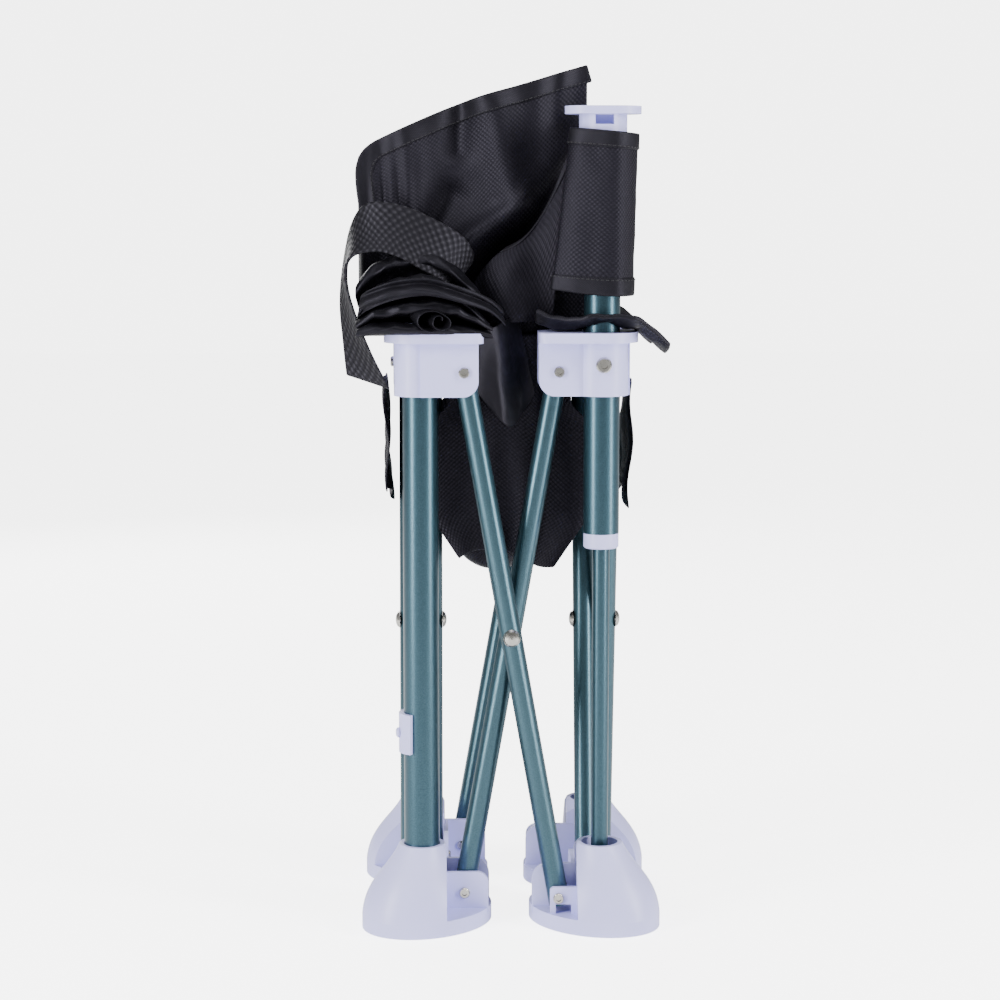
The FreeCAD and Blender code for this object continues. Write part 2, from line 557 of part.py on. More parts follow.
def make_stop_clip(corner):
    name = corner_names[corner] + "_stop_clip"
    outer = rod(name + "_outer", f"{post_radius} + 0.1 + clip_wall", ("0", "0", "0"), "clip_height")
    inner = rod(name + "_inner", f"{post_radius} + 0.1", ("0", "0", "-1"), "clip_height + 2")
    bind(outer, Angle="clip_turn")
    ring = cut(name + "_ring", outer, [inner])
    faces_to = 190
    upward = FreeCAD.Vector(0, 0, 1)
    half_turn = worth("clip_turn") / 2
    ring.Placement = FreeCAD.Placement(FreeCAD.Vector(), FreeCAD.Rotation(upward, faces_to - half_turn))
    outline = [("0", "0"), ("3.6", "0"), ("3.6", "1"), ("2.4", "2"), ("0", "2.2")]
    head = turned(name + "_head", outline, "x")
    turn = FreeCAD.Placement(FreeCAD.Vector(), FreeCAD.Rotation(upward, faces_to))
    head_place = FreeCAD.Vector(worth(f"{post_radius} + clip_wall + 0.2"), 0, worth("clip_height") / 2)
    outward = FreeCAD.Placement(head_place, FreeCAD.Rotation(FreeCAD.Vector(0, 1, 0), 90))
    head.Placement = turn.multiply(outward)
    clip = group(name, [ring, head])
    stand(clip, corner, "clip_bottom")
    keep(clip, name)


def make_right_post(corner):
    place = corner_names[corner]
    length = "right_post_top - bush_bottom - bush_collar"
    outside = rod(place + "_post_outside", post_radius, ("0", "0", "0"), length)
    inside = rod(place + "_post_inside", f"{post_radius} - post_wall", ("0", "0", "-1"), f"{length} + 2")
    screw_height = f"{hub_bottom} + post_screw_rise - bush_bottom - bush_collar"
    screw_hole = rod(place + "_post_hole", "rivet_radius + pin_play", ("-post_diameter", "0", screw_height),
                     "post_diameter", "x")
    post = cut(place + "_post", outside, [inside, screw_hole])
    stand(post, corner, "bush_bottom + bush_collar")
    keep(post, place + "_post")
    bore = "rod_radius + rod_play"
    fit = f"{post_radius} - post_wall - plug_play"
    collar = f"{post_radius} - 0.2"
    outline = [(bore, "0"), (f"{collar} - 1", "0"), (collar, "1"), (collar, "bush_collar"),
               (fit, "bush_collar"),
               (fit, "bush_collar + plug_length"), (bore, "bush_collar + plug_length")]
    bush = turned(place + "_bush", outline)
    stand(bush, corner, "bush_bottom")
    keep(bush, place + "_bush")
    guide = rod(place + "_guide_rod", "rod_radius", ("0", "0", "0"), "rod_top - foot_floor")
    stand(guide, corner, "foot_floor")
    keep(guide, place + "_guide_rod")


def make_cap(corner):
    name = corner_names[corner] + "_cap"
    neck_bore = f"{post_radius} + 0.1"
    neck = f"{post_radius} + cap_neck_wall"
    outline = [(neck_bore, "-cap_neck_drop"), (neck, "-cap_neck_drop"), (neck, "cap_roof + 1"),
               ("0", "cap_roof + 1"),
               ("0", "0"), (neck_bore, "0")]
    cup = turned(name + "_neck", outline)
    end = "cap_long / 2 - cap_wide / 2"
    plate = box(name + "_plate", ("-cap_wide / 2", "cap_wide / 2"), (f"-({end})", end),
                ("cap_roof", "cap_roof + cap_flange"))
    near_end = rod(name + "_near_end", "cap_wide / 2", ("0", f"-({end})", "cap_roof"), "cap_flange")
    far_end = rod(name + "_far_end", "cap_wide / 2", ("0", end, "cap_roof"), "cap_flange")
    body = fuse(name + "_body", [cup, plate, near_end, far_end])
    window_depth = (f"-({neck}) - 1", f"-({neck}) + latch_depth")
    window_sides = ("-latch_width / 2", "latch_width / 2")
    window_top = "cap_roof - 0.6"
    window = box(name + "_window", window_depth, window_sides, (f"{window_top} - latch_height", window_top))
    cap = cut(name, body, [window])
    stand(cap, corner, "right_post_top")
    keep(cap, name)


# Soft pieces, folded. Each one is a plain closed solid where its cloth lies.

def front_or_rear(sign, near, far):
    """Span of y from near to far, before the centre when sign is -1 and behind it when sign is 1."""
    return (f"-({far})", f"-({near})") if sign < 0 else (near, far)


def make_seat():
    half = ("-sling_half", "sling_half")
    upper = box("seat_sling_a", half, half, (f"{hub_bottom} - sling_drop", f"{hub_top} - sling_sink"))
    keep(upper, "seat_sling_a")
    low_half = ("-low_sling_half", "low_sling_half")
    low_top = f"{hub_bottom} - sling_drop - low_sling_gap"
    lower = box("seat_sling_b", low_half, low_half, (f"{hub_bottom} - low_sling_drop", low_top))
    keep(lower, "seat_sling_b")
    across = (f"-{skirt_half}", skirt_half)
    skirt_top = f"{hub_bottom} - skirt_sink"
    for name, sign in (("front_skirt", -1), ("rear_skirt", 1)):
        depth = front_or_rear(sign, f"{skirt_outside} - skirt_thick", skirt_outside)
        keep(box(name, across, depth, (f"{hub_bottom} - skirt_drop", skirt_top)), name)
    for name, sign in (("left_skirt", -1), ("right_skirt", 1)):
        depth = front_or_rear(sign, side_skirt_inside, f"{side_skirt_inside} + side_skirt_thick")
        keep(box(name, depth, across, (f"{hub_bottom} - side_skirt_drop", skirt_top)), name)


def make_backrest():
    for name, sign in (("front_arm_cloth", -1), ("rear_arm_cloth", 1)):
        depth = front_or_rear(sign, "arm_inside", "arm_outside")
        height = (f"{hub_top} + arm_low", f"{hub_top} + arm_high")
        keep(box(name, ("-arm_back", "arm_front"), depth, height), name)
    for name, sign in (("backrest_front_wing", -1), ("backrest_rear_wing", 1)):
        height = ("wing_bottom", "wing_top")
        wing_depth = front_or_rear(sign, "wing_inside", "wing_inside + wing_thick")
        wing = box(name + "_wing", (f"-{wing_left}", wing_right), wing_depth, height)
        back_depth = front_or_rear(sign, "cloth_gap", "wing_inside + wing_thick")
        back = box(name + "_back", (f"-{wing_left}", f"-{wing_left} + wing_thick"), back_depth, height)
        keep(fuse(name, [wing, back]), name)


def make_sleeve(corner):
    name = corner_names[corner] + "_sleeve"
    height = "sleeve_top - sleeve_bottom"
    outside = f"{sleeve_inside} + sleeve_thick"
    outline = [(sleeve_inside, "0"), (f"{outside} + sleeve_flare", "0"), (outside, height),
               (sleeve_inside, height)]
    sleeve = turned(name, outline)
    stand(sleeve, corner, "sleeve_bottom")
    keep(sleeve, name)


def make_gather(corner):
    """Gathered cloth over a left post's top."""
    name = corner_names[corner] + "_gather"
    sign_x, sign_y = corner_signs[corner]
    sides = ("-gather_out", "gather_in") if sign_y < 0 else ("-gather_in", "gather_out")
    ahead = flange_tab(name + "_one", "gather_short", sides, "0", "gather_tall", "gather_corner")
    mirrored = ("-gather_in", "gather_out") if sign_y < 0 else ("-gather_out", "gather_in")
    behind = flange_tab(name + "_other", "gather_long", mirrored, "0", "gather_tall", "gather_corner")
    behind.Placement = FreeCAD.Placement(FreeCAD.Vector(), FreeCAD.Rotation(FreeCAD.Vector(0, 0, 1), 180))
    whole = fuse(name + "_lump", [ahead, behind])
    at(whole, f"{sign_x} * post_spacing / 2", f"{sign_y} * (post_spacing / 2 + gather_shift)",
       "left_post_top + plug_cap + cloth_gap")
    keep(whole, name)


def make_flap(corner):
    """Flap of cloth round a right post, lying on its hub."""
    name = corner_names[corner] + "_flap"
    across = ("-soft_overhang", "flap_inner")
    along = ("-soft_overhang", "flap_side")
    flat = box(name + "_cloth", across, along, ("0", "flap_thick"))
    hole_height = f"flap_thick + {2 * margin}"
    hole = rod(name + "_hole", f"{post_radius} + flap_play", ("0", "0", f"-{margin}"), hole_height)
    whole = cut(name + "_flat", flat, [hole])
    stand(whole, corner, f"{hub_top} + cloth_gap")
    keep(whole, name)


def make_strap():
    """Band of webbing that arches beside the backrest, from outside the hub to above the seat."""
    near = "-(post_spacing / 2 + strap_offset)"
    outer_left = f"-{soft_reach}"
    arch_radius = f"(({soft_reach} - strap_inner) / 2)"
    centre_x = f"-({soft_reach} + strap_inner) / 2"
    arch_height = f"strap_crown - {arch_radius}"
    outer = rod("strap_outer", arch_radius, (centre_x, near, arch_height), "strap_wide", "y")
    inner_start = (centre_x, f"{near} - {margin}", arch_height)
    inner_radius = f"{arch_radius} - strap_thick"
    inner = rod("strap_inner", inner_radius, inner_start, f"strap_wide + {2 * margin}", "y")
    clear_depth = (f"{near} - {margin}", f"{near} + strap_wide + {margin}")
    low_half = box("strap_low_half", (outer_left, "-strap_inner"), clear_depth,
                   (f"strap_crown - 3 * {arch_radius}", arch_height))
    arch = cut("strap_arch", outer, [inner, low_half])
    depth = (near, f"{near} + strap_wide")
    long_sides = (outer_left, f"{outer_left} + strap_thick")
    long_leg = box("strap_long_leg", long_sides, depth, ("strap_foot", arch_height))
    short_sides = ("-strap_inner - strap_thick", "-strap_inner")
    short_leg = box("strap_short_leg", short_sides, depth, ("strap_end", arch_height))
    keep(fuse("carry_strap", [arch, long_leg, short_leg]), "carry_strap")


for corner in range(4):
    make_foot(corner)
    make_foot_screws(corner)
    make_hub(corner)
    make_hub_screws(corner)
for side in range(4):
    make_bar(side, True)
    make_bar(side, False)
    make_rivet(side)
for corner in (0, 3):
    make_left_post(corner)
    make_stop_clip(corner)
    make_gather(corner)
for corner in (1, 2):
    make_right_post(corner)
    make_cap(corner)
    make_sleeve(corner)
    make_flap(corner)
make_seat()
make_backrest()
make_strap()
doc.recompute()

for item in doc.Objects:
    if "Invalid" in item.State or "Error" in item.State:
        raise RuntimeError(f"{item.Name} failed: {item.State}")
for item in nodes:
    if item.Shape.isNull() or not item.Shape.isValid():
        raise RuntimeError(f"{item.Label} has no valid shape")
for item in nodes:
    item.Shape.exportStep(f"parts/{item.Label}.step")
print(f"{len(nodes)} sub-parts written")
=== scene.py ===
import json
import math
import bmesh
import bpy
from mathutils import Euler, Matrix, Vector, noise


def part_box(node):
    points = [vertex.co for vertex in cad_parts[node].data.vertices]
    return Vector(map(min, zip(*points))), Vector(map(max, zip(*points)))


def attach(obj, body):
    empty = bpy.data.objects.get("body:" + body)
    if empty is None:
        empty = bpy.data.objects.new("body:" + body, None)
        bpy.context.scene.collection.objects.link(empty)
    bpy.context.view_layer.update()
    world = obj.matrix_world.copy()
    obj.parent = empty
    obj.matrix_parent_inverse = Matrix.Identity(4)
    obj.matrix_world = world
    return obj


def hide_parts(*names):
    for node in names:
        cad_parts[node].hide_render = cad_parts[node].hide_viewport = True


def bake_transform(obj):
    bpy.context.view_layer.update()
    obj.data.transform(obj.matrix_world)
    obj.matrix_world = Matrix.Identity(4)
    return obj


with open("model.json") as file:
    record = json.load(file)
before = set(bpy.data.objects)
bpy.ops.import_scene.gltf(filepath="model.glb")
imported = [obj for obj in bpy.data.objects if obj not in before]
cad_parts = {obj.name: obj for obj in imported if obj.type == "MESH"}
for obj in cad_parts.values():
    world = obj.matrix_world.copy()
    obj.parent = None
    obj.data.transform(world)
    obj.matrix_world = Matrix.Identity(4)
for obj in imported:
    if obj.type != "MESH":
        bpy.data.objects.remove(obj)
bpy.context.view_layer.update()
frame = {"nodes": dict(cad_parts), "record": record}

mm = 0.001
joinWithin = 0.05     # points of a closed sheet nearer than this, in mm, are one point
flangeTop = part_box("front_left_hub")[1].z
postReach = 63     # the four posts stand this far from the centre in x and in y, in mm
print("frame loaded, flange top at", round(flangeTop, 4))


# shared ways of making cloth


def throughPoints(a, b, c, d, f):
    # the smooth curve between b and c, with a and d as their neighbours
    bend = 2 * a - 5 * b + 4 * c - d
    sharp = 3 * b - a - 3 * c + d
    return 0.5 * (2 * b + (c - a) * f + bend * f * f + sharp * f ** 3)


def curvePoint(points, t):
    # smooth curve through points, t from 0 to 1
    spans = len(points) - 1
    place = min(max(t, 0.0), 1.0) * spans
    index = min(int(place), spans - 1)
    near = [points[max(index - 1, 0)], points[index], points[index + 1], points[min(index + 2, spans)]]
    return throughPoints(*[Vector(point) for point in near], place - index)


def levelAt(stations, x):
    # straight-line reading of (x, value) stations, in order of x
    if x <= stations[0][0]:
        return stations[0][1]
    for (x0, v0), (x1, v1) in zip(stations, stations[1:]):
        if x <= x1:
            return v0 + (v1 - v0) * (x - x0) / (x1 - x0)
    return stations[-1][1]


def foldLift(x, z, folds):
    # folds are (x0, z0, x1, z1, width, lift), all in mm
    lift = 0.0
    for x0, z0, x1, z1, width, height in folds:
        along = ((x - x0) * (x1 - x0) + (z - z0) * (z1 - z0)) / ((x1 - x0) ** 2 + (z1 - z0) ** 2)
        along = min(max(along, 0.0), 1.0)
        gap = math.hypot(x - x0 - along * (x1 - x0), z - z0 - along * (z1 - z0))
        lift += height * math.exp(-(gap / width) ** 2)
    return lift


def crease(x, y, z, size, seed=0.0):
    # sharp-topped wrinkles between 0 and 1
    return 1 - abs(noise.noise(Vector((x / size + seed, y / size, z / size)))) * 2


def makeSheet(name, across, along, place, cut, closed=False, gone=None):
    # place(u, v) gives a point in mm, and gone(u, v) is true in a hole
    # cut is the flat size in mm that the weave follows
    bm = bmesh.new()
    bmesh.ops.create_grid(bm, x_segments=across, y_segments=along, size=0.5)
    uv = bm.loops.layers.uv.new("cut")
    for face in bm.faces:
        for loop in face.loops:
            u, v = loop.vert.co.x + 0.5, loop.vert.co.y + 0.5
            loop[uv].uv = (u * cut[0] * mm, v * cut[1] * mm)
    if gone:
        inside = [face for face in bm.faces
                  if all(gone(vert.co.x + 0.5, vert.co.y + 0.5) for vert in face.verts)]
        bmesh.ops.delete(bm, geom=inside, context="FACES")
    for vert in bm.verts:
        vert.co = Vector(place(vert.co.x + 0.5, vert.co.y + 0.5)) * mm
    if closed:
        bmesh.ops.remove_doubles(bm, verts=bm.verts, dist=joinWithin * mm)
        bmesh.ops.recalc_face_normals(bm, faces=bm.faces)
    mesh = bpy.data.meshes.new(name)
    bm.to_mesh(mesh)
    bm.free()
    obj = bpy.data.objects.new(name, mesh)
    bpy.context.scene.collection.objects.link(obj)
    return obj


def finishPiece(obj, material, thick=0.0, smooth=1):
    # gives a sheet its thickness and roundness for good, and its finish
    if thick:
        solid = obj.modifiers.new("thickness", "SOLIDIFY")
        solid.thickness = thick * mm
        solid.offset = 0
    if smooth:
        rounding = obj.modifiers.new("rounding", "SUBSURF")
        rounding.levels = smooth
        rounding.render_levels = smooth
    view = bpy.context.evaluated_depsgraph_get()
    mesh = bpy.data.meshes.new_from_object(obj.evaluated_get(view), preserve_all_data_layers=True,
                                           depsgraph=view)
    obj.modifiers.clear()
    obj.data = mesh
    mesh.materials.clear()
    mesh.materials.append(material)
    for face in mesh.polygons:
        face.use_smooth = True
        face.material_index = 0
    return obj


stitches = {"long": 2.3, "gap": 1.1, "radius": 0.3, "sides": 6}


def stitchRow(name, points, material):
    # a run of thread stitches that follows points, given in mm
    bm = bmesh.new()
    runs = [(Vector(b) - Vector(a)).length for a, b in zip(points, points[1:])]
    total, place = sum(runs), stitches["long"]
    while place < total - stitches["long"]:
        ends = []
        for reach in (place - stitches["long"] / 2, place + stitches["long"] / 2):
            index, left = 0, reach
            while index < len(runs) - 1 and left > runs[index]:
                left -= runs[index]
                index += 1
            ends.append(Vector(points[index]).lerp(Vector(points[index + 1]), left / max(runs[index], 1e-6)))
        direction = (ends[1] - ends[0])
        sides, radius, long = stitches["sides"], stitches["radius"], stitches["long"]
        thread = bmesh.ops.create_cone(bm, cap_ends=True, segments=sides, radius1=radius, radius2=radius,
                                       depth=long)["verts"]
        bmesh.ops.rotate(bm, verts=thread, matrix=direction.to_track_quat("Z", "Y").to_matrix())
        bmesh.ops.translate(bm, verts=thread, vec=(ends[0] + ends[1]) / 2)
        place += stitches["long"] + stitches["gap"]
    bmesh.ops.scale(bm, verts=bm.verts, vec=(mm, mm, mm))
    mesh = bpy.data.meshes.new(name)
    bm.to_mesh(mesh)
    bm.free()
    obj = bpy.data.objects.new(name, mesh)
    bpy.context.scene.collection.objects.link(obj)
    return finishPiece(obj, material, smooth=0)


# shader groups

def newGroup(name, inputs, outputs):
    tree = bpy.data.node_groups.new(name, "ShaderNodeTree")
    for label, kind, value in inputs:
        socket = tree.interface.new_socket(label, in_out="INPUT", socket_type=kind)
        if value is not None:
            socket.default_value = value
    for label, kind in outputs:
        tree.interface.new_socket(label, in_out="OUTPUT", socket_type=kind)
    return tree, tree.nodes.new("NodeGroupInput"), tree.nodes.new("NodeGroupOutput")


def mathNode(tree, operation, first, second=None):
    node = tree.nodes.new("ShaderNodeMath")
    node.operation = operation
    for index, value in enumerate((first, second)):
        if value is None:
            continue
        if isinstance(value, (int, float)):
            node.inputs[index].default_value = value
        else:
            tree.links.new(value, node.inputs[index])
    return node.outputs[0]


def makeWeaveGroup():
    # over-and-under threads; the cut's UV map is in metres; the second output is a painted highlight on the
    # thread crowns, with painted shade in the gaps between threads, used only for colour
    inputs = [("Place", "NodeSocketVector", None), ("Threads per Metre", "NodeSocketFloat", 600.0),
              ("Slack", "NodeSocketFloat", 0.2)]
    outputs = [("Height", "NodeSocketFloat"), ("Painted Crown Highlight", "NodeSocketFloat")]
    tree, given, out = newGroup("threadWeave", inputs, outputs)
    wander = tree.nodes.new("ShaderNodeTexNoise")
    wander.inputs["Scale"].default_value = 90
    wander.inputs["Detail"].default_value = 1
    tree.links.new(given.outputs["Place"], wander.inputs["Vector"])
    split = tree.nodes.new("ShaderNodeSeparateXYZ")
    tree.links.new(given.outputs["Place"], split.inputs[0])
    shift = mathNode(tree, "MULTIPLY", wander.outputs["Fac"], given.outputs["Slack"])
    waves = []
    for axis in (0, 1):
        turns = mathNode(tree, "MULTIPLY", split.outputs[axis], given.outputs["Threads per Metre"])
        turns = mathNode(tree, "ADD", turns, shift)
        waves.append(mathNode(tree, "SINE", mathNode(tree, "MULTIPLY", turns, math.pi)))
    product = mathNode(tree, "MULTIPLY", waves[0], waves[1])
    height = mathNode(tree, "MULTIPLY", mathNode(tree, "ADD", product, 1.0), 0.5)
    tree.links.new(height, out.inputs["Height"])
    # painted highlight: the tops of the threads are made lighter in colour and the gaps darker, where light
    # and shade would fall
    tree.links.new(mathNode(tree, "POWER", height, 3.0), out.inputs["Painted Crown Highlight"])
    return tree


def makeGrainGroup():
    # fine grain and a slow mottle over the surface
    inputs = [("Place", "NodeSocketVector", None), ("Grain Scale", "NodeSocketFloat", 900.0),
              ("Mottle Scale", "NodeSocketFloat", 25.0)]
    outputs = [("Grain", "NodeSocketFloat"), ("Mottle", "NodeSocketFloat")]
    tree, given, out = newGroup("surfaceGrain", inputs, outputs)
    for label, scale, detail in (("Grain", "Grain Scale", 2), ("Mottle", "Mottle Scale", 4)):
        texture = tree.nodes.new("ShaderNodeTexNoise")
        texture.inputs["Detail"].default_value = detail
        tree.links.new(given.outputs["Place"], texture.inputs["Vector"])
        tree.links.new(given.outputs[scale], texture.inputs["Scale"])
        tree.links.new(texture.outputs["Fac"], out.inputs[label])
    return tree


def makeScuffGroup():
    # sparse thin rub marks, stretched along the height
    inputs = [("Place", "NodeSocketVector", None), ("Scale", "NodeSocketFloat", 60.0)]
    tree, given, out = newGroup("rubMarks", inputs, [("Marks", "NodeSocketFloat")])
    stretch = tree.nodes.new("ShaderNodeMapping")
    stretch.inputs["Scale"].default_value = (1.0, 1.0, 0.12)
    tree.links.new(given.outputs["Place"], stretch.inputs["Vector"])
    texture = tree.nodes.new("ShaderNodeTexNoise")
    texture.inputs["Detail"].default_value = 6
    tree.links.new(stretch.outputs["Vector"], texture.inputs["Vector"])
    tree.links.new(given.outputs["Scale"], texture.inputs["Scale"])
    sharp = tree.nodes.new("ShaderNodeMapRange")
    sharp.inputs["From Min"].default_value = 0.62
    sharp.inputs["From Max"].default_value = 0.72
    tree.links.new(texture.outputs["Fac"], sharp.inputs["Value"])
    tree.links.new(sharp.outputs["Result"], out.inputs["Marks"])
    return tree


weaveGroup, grainGroup, scuffGroup = makeWeaveGroup(), makeGrainGroup(), makeScuffGroup()


def startMaterial(name, settings):
    material = bpy.data.materials.new(name)
    material.use_nodes = True
    tree = material.node_tree
    shader = tree.nodes["Principled BSDF"]
    for label, value in settings.items():
        shader.inputs[label].default_value = value
    place = tree.nodes.new("ShaderNodeTexCoord")
    return material, tree, shader, place


def useGroup(tree, group, place, **values):
    node = tree.nodes.new("ShaderNodeGroup")
    node.node_tree = group
    tree.links.new(place, node.inputs["Place"])
    for label, value in values.items():
        node.inputs[label.replace("_", " ")].default_value = value
    return node


def blendColours(tree, mask, low, high, target):
    mix = tree.nodes.new("ShaderNodeMix")
    mix.data_type = "RGBA"
    mix.inputs["A"].default_value = (*low, 1)
    mix.inputs["B"].default_value = (*high, 1)
    tree.links.new(mask, mix.inputs["Factor"])
    tree.links.new(mix.outputs["Result"], target)


def spreadValue(tree, mask, low, high, target):
    spread = tree.nodes.new("ShaderNodeMapRange")
    spread.inputs["To Min"].default_value = low
    spread.inputs["To Max"].default_value = high
    tree.links.new(mask, spread.inputs["Value"])
    tree.links.new(spread.outputs["Result"], target)


def raiseSurface(tree, shader, height, strength, distance):
    bump = tree.nodes.new("ShaderNodeBump")
    bump.inputs["Strength"].default_value = strength
    bump.inputs["Distance"].default_value = distance
    tree.links.new(height, bump.inputs["Height"])
    tree.links.new(bump.outputs["Normal"], shader.inputs["Normal"])


def makePlastic(name, low, high, roughness):
    settings = {"Coat Weight": 0.12, "Coat Roughness": 0.3, "IOR": 1.47}
    material, tree, shader, place = startMaterial(name, settings)
    grain = useGroup(tree, grainGroup, place.outputs["Object"], Grain_Scale=1500.0, Mottle_Scale=18.0)
    blendColours(tree, grain.outputs["Mottle"], low, high, shader.inputs["Base Color"])
    spreadValue(tree, grain.outputs["Mottle"], roughness - 0.06, roughness + 0.08, shader.inputs["Roughness"])
    raiseSurface(tree, shader, grain.outputs["Grain"], 0.08, 0.0002)
    return material


def makePaint(name, low, high, metal):
    settings = {"Metallic": metal, "Coat Weight": 0.25, "Coat Roughness": 0.22}
    material, tree, shader, place = startMaterial(name, settings)
    flakes = useGroup(tree, grainGroup, place.outputs["Object"], Grain_Scale=1400.0, Mottle_Scale=30.0)
    marks = useGroup(tree, scuffGroup, place.outputs["Object"], Scale=70.0)
    blendColours(tree, flakes.outputs["Grain"], low, high, shader.inputs["Base Color"])
    spreadValue(tree, marks.outputs["Marks"], 0.34, 0.46, shader.inputs["Roughness"])
    raiseSurface(tree, shader, flakes.outputs["Grain"], 0.12, 0.00025)
    return material


def makeSteel(name, low, high):
    material, tree, shader, place = startMaterial(name, {"Metallic": 1.0})
    grain = useGroup(tree, grainGroup, place.outputs["Object"], Grain_Scale=2200.0, Mottle_Scale=160.0)
    blendColours(tree, grain.outputs["Mottle"], low, high, shader.inputs["Base Color"])
    spreadValue(tree, grain.outputs["Mottle"], 0.12, 0.34, shader.inputs["Roughness"])
    raiseSurface(tree, shader, grain.outputs["Grain"], 0.1, 0.0001)
    return material


def makeCloth(name, threads, low, high, roughness, relief, sheen):
    settings = {"Sheen Weight": sheen, "Sheen Roughness": 0.35, "Specular IOR Level": 0.22,
                "Specular Tint": (0.84, 0.80, 1.0, 1)}
    material, tree, shader, place = startMaterial(name, settings)
    threadsNode = useGroup(tree, weaveGroup, place.outputs["UV"], Threads_per_Metre=threads, Slack=0.35)
    # painted light: the low colour is painted shade between the threads and the high colour a painted
    # highlight on their crowns
    blendColours(tree, threadsNode.outputs["Painted Crown Highlight"], low, high, shader.inputs["Base Color"])
    spreadValue(tree, threadsNode.outputs["Height"], roughness + 0.2, roughness, shader.inputs["Roughness"])
    raiseSurface(tree, shader, threadsNode.outputs["Height"], relief, 0.0005)
    return material


finishes = {
    "whitePlastic": makePlastic("whitePlastic", (0.50, 0.50, 0.88), (0.57, 0.57, 0.93), 0.36),
    "postPaint": makePaint("postPaint", (0.017, 0.047, 0.064), (0.048, 0.108, 0.142), 0.82),
    "barPaint": makePaint("barPaint", (0.023, 0.060, 0.078), (0.064, 0.130, 0.165), 0.82),
    "plated": makeSteel("platedSteel", (0.34, 0.32, 0.28), (0.62, 0.61, 0.58)),
    # for each cloth the first colour is the painted shade between threads and the second the painted
    # highlight on the thread crowns
    "oxford": makeCloth("oxfordCloth", 640.0, (0.0026, 0.0023, 0.0040),
                        (0.0095, 0.0088, 0.0135), 0.42, 0.6, 0.0),
    "tape": makeCloth("bindingTape", 1500.0, (0.0030, 0.0029, 0.0040),
                      (0.0075, 0.0073, 0.0098), 0.38, 0.25, 0.0),
    "lining": makeCloth("satinLining", 2400.0, (0.0026, 0.0025, 0.0035),
                        (0.0060, 0.0058, 0.0078), 0.30, 0.12, 0.0),
    "webbing": makeCloth("strapWebbing", 330.0, (0.0024, 0.0024, 0.0030),
                         (0.0240, 0.0235, 0.0275), 0.42, 1.0, 0.0),
    "thread": makeCloth("sewingThread", 3000.0, (0.012, 0.012, 0.013), (0.03, 0.03, 0.032), 0.5, 0.2, 0.1),
}
slotFinish = {"white_plastic": "whitePlastic", "post_paint": "postPaint", "bar_paint": "barPaint",
              "steel": "plated", "seat_cloth": "oxford", "webbing": "webbing"}
nodeSlots = {row["node"]: row["material_slot"] for row in frame["record"]["subparts"]}
for nodeName, node in frame["nodes"].items():
    finish = finishes[slotFinish[nodeSlots[nodeName]]]
    if not node.material_slots:
        node.data.materials.append(finish)
    for holder in node.material_slots:
        holder.material = finish
print("finishes made:", len(finishes))


# backrest: one panel, folded in a U behind the posts, bound along its top and left edges

backrest = {
    "wingY": 34.0, "leftX": -101.0, "rightX": 54.0, "bottom": 416.0, "backBulge": 5.0, "cornerDip": 4.0,
    "topEdge": [(-107, 537), (-97, 549), (-80, 557), (-33, 577), (10, 590), (54, 603)],
    "wingShare": 0.42, "hem": 12.0, "thick": 1.3, "cut": (390.0, 165.0), "depth": 1.35,
    # folds: both ends, width and height
    "folds": [(-33, 592, -36, 545, 9, -6.0), (-42, 512, -72, 466, 13, -8.0), (-12, 575, 2, 520, 15, 7.5),
              (50, 528, -4, 462, 12, -12.0), (10, 508, -56, 466, 8, 8.0), (-72, 556, -68, 505, 14, 5.0),
              (34, 598, 32, 566, 9, 4.5), (2, 472, -34, 440, 14, -8.0), (-26, 582, 6, 600, 6, 2.5)],
    "gathers": 2.2, "gatherAt": (-82, 500), "gatherSpread": (16, 40), "gatherTurns": (0.55, 0.03),
    "wrinkle": 1.1, "wrinkleSize": (17, 23),
    "turnStart": (-0.05, -0.026, 0.5), "turnEnd": (-0.05, 0.026, 0.5),
}
binding = {
    # along the top edge from the tip, round the corner, and down the left edge
    "path": [(54, 603, 0), (10, 590, 0), (-33, 577, 0), (-80, 557, 0), (-99, 547, 0), (-106, 536, 0),
             (-107, 522, 0), (-104, 500, 0), (-100, 480, 0)],
    "cut": (215.0, 12.6), "outside": -0.6, "lift": 0.7, "thick": 1.6, "reach": 0.02,
    "stitchIn": 1.4, "stitchLift": 1.75, "stitchSteps": 90,
}


def wingPoint(x, z, side, lift=0.0):
    # a point on the front wing (side -1) or the rear wing (side 1)
    (middleX, middleZ), (wideX, wideZ) = backrest["gatherAt"], backrest["gatherSpread"]
    turnX, turnZ = backrest["gatherTurns"]
    fade = math.exp(-((x - middleX) / wideX) ** 2 - ((z - middleZ) / wideZ) ** 2)
    ripples = backrest["gathers"] * math.sin(x * turnX + z * turnZ) * fade
    sizeX, sizeZ = backrest["wrinkleSize"]
    wrinkles = backrest["wrinkle"] * noise.noise(Vector((x / sizeX, z / sizeZ, side)))
    relief = backrest["depth"] * foldLift(x, z, backrest["folds"]) + ripples + wrinkles
    return Vector((x, side * (backrest["wingY"] + relief + lift), z))


def backrestPoint(u, v):
    bottom, leftX, wingShare = backrest["bottom"], backrest["leftX"], backrest["wingShare"]
    if u < wingShare or u > 1 - wingShare:
        side = -1 if u < 0.5 else 1
        run = (u if u < 0.5 else 1 - u) / wingShare
        x = backrest["rightX"] + (leftX - backrest["rightX"]) * run
        return wingPoint(x, bottom + (levelAt(backrest["topEdge"], x) - bottom) * v, side)
    turn = (u - wingShare) / (1 - 2 * wingShare)
    arch = math.sin(math.pi * turn)
    start = wingPoint(leftX, 0, -1).y
    across = start - 2 * start * (turn * turn * (3 - 2 * turn))
    z = bottom + (levelAt(backrest["topEdge"], leftX) - backrest["cornerDip"] * arch - bottom) * v
    near = wingPoint(leftX, z, -1 if turn < 0.5 else 1).y
    share = abs(2 * turn - 1) ** 2
    return Vector((leftX - backrest["backBulge"] * arch, across * (1 - share) + near * share, z))


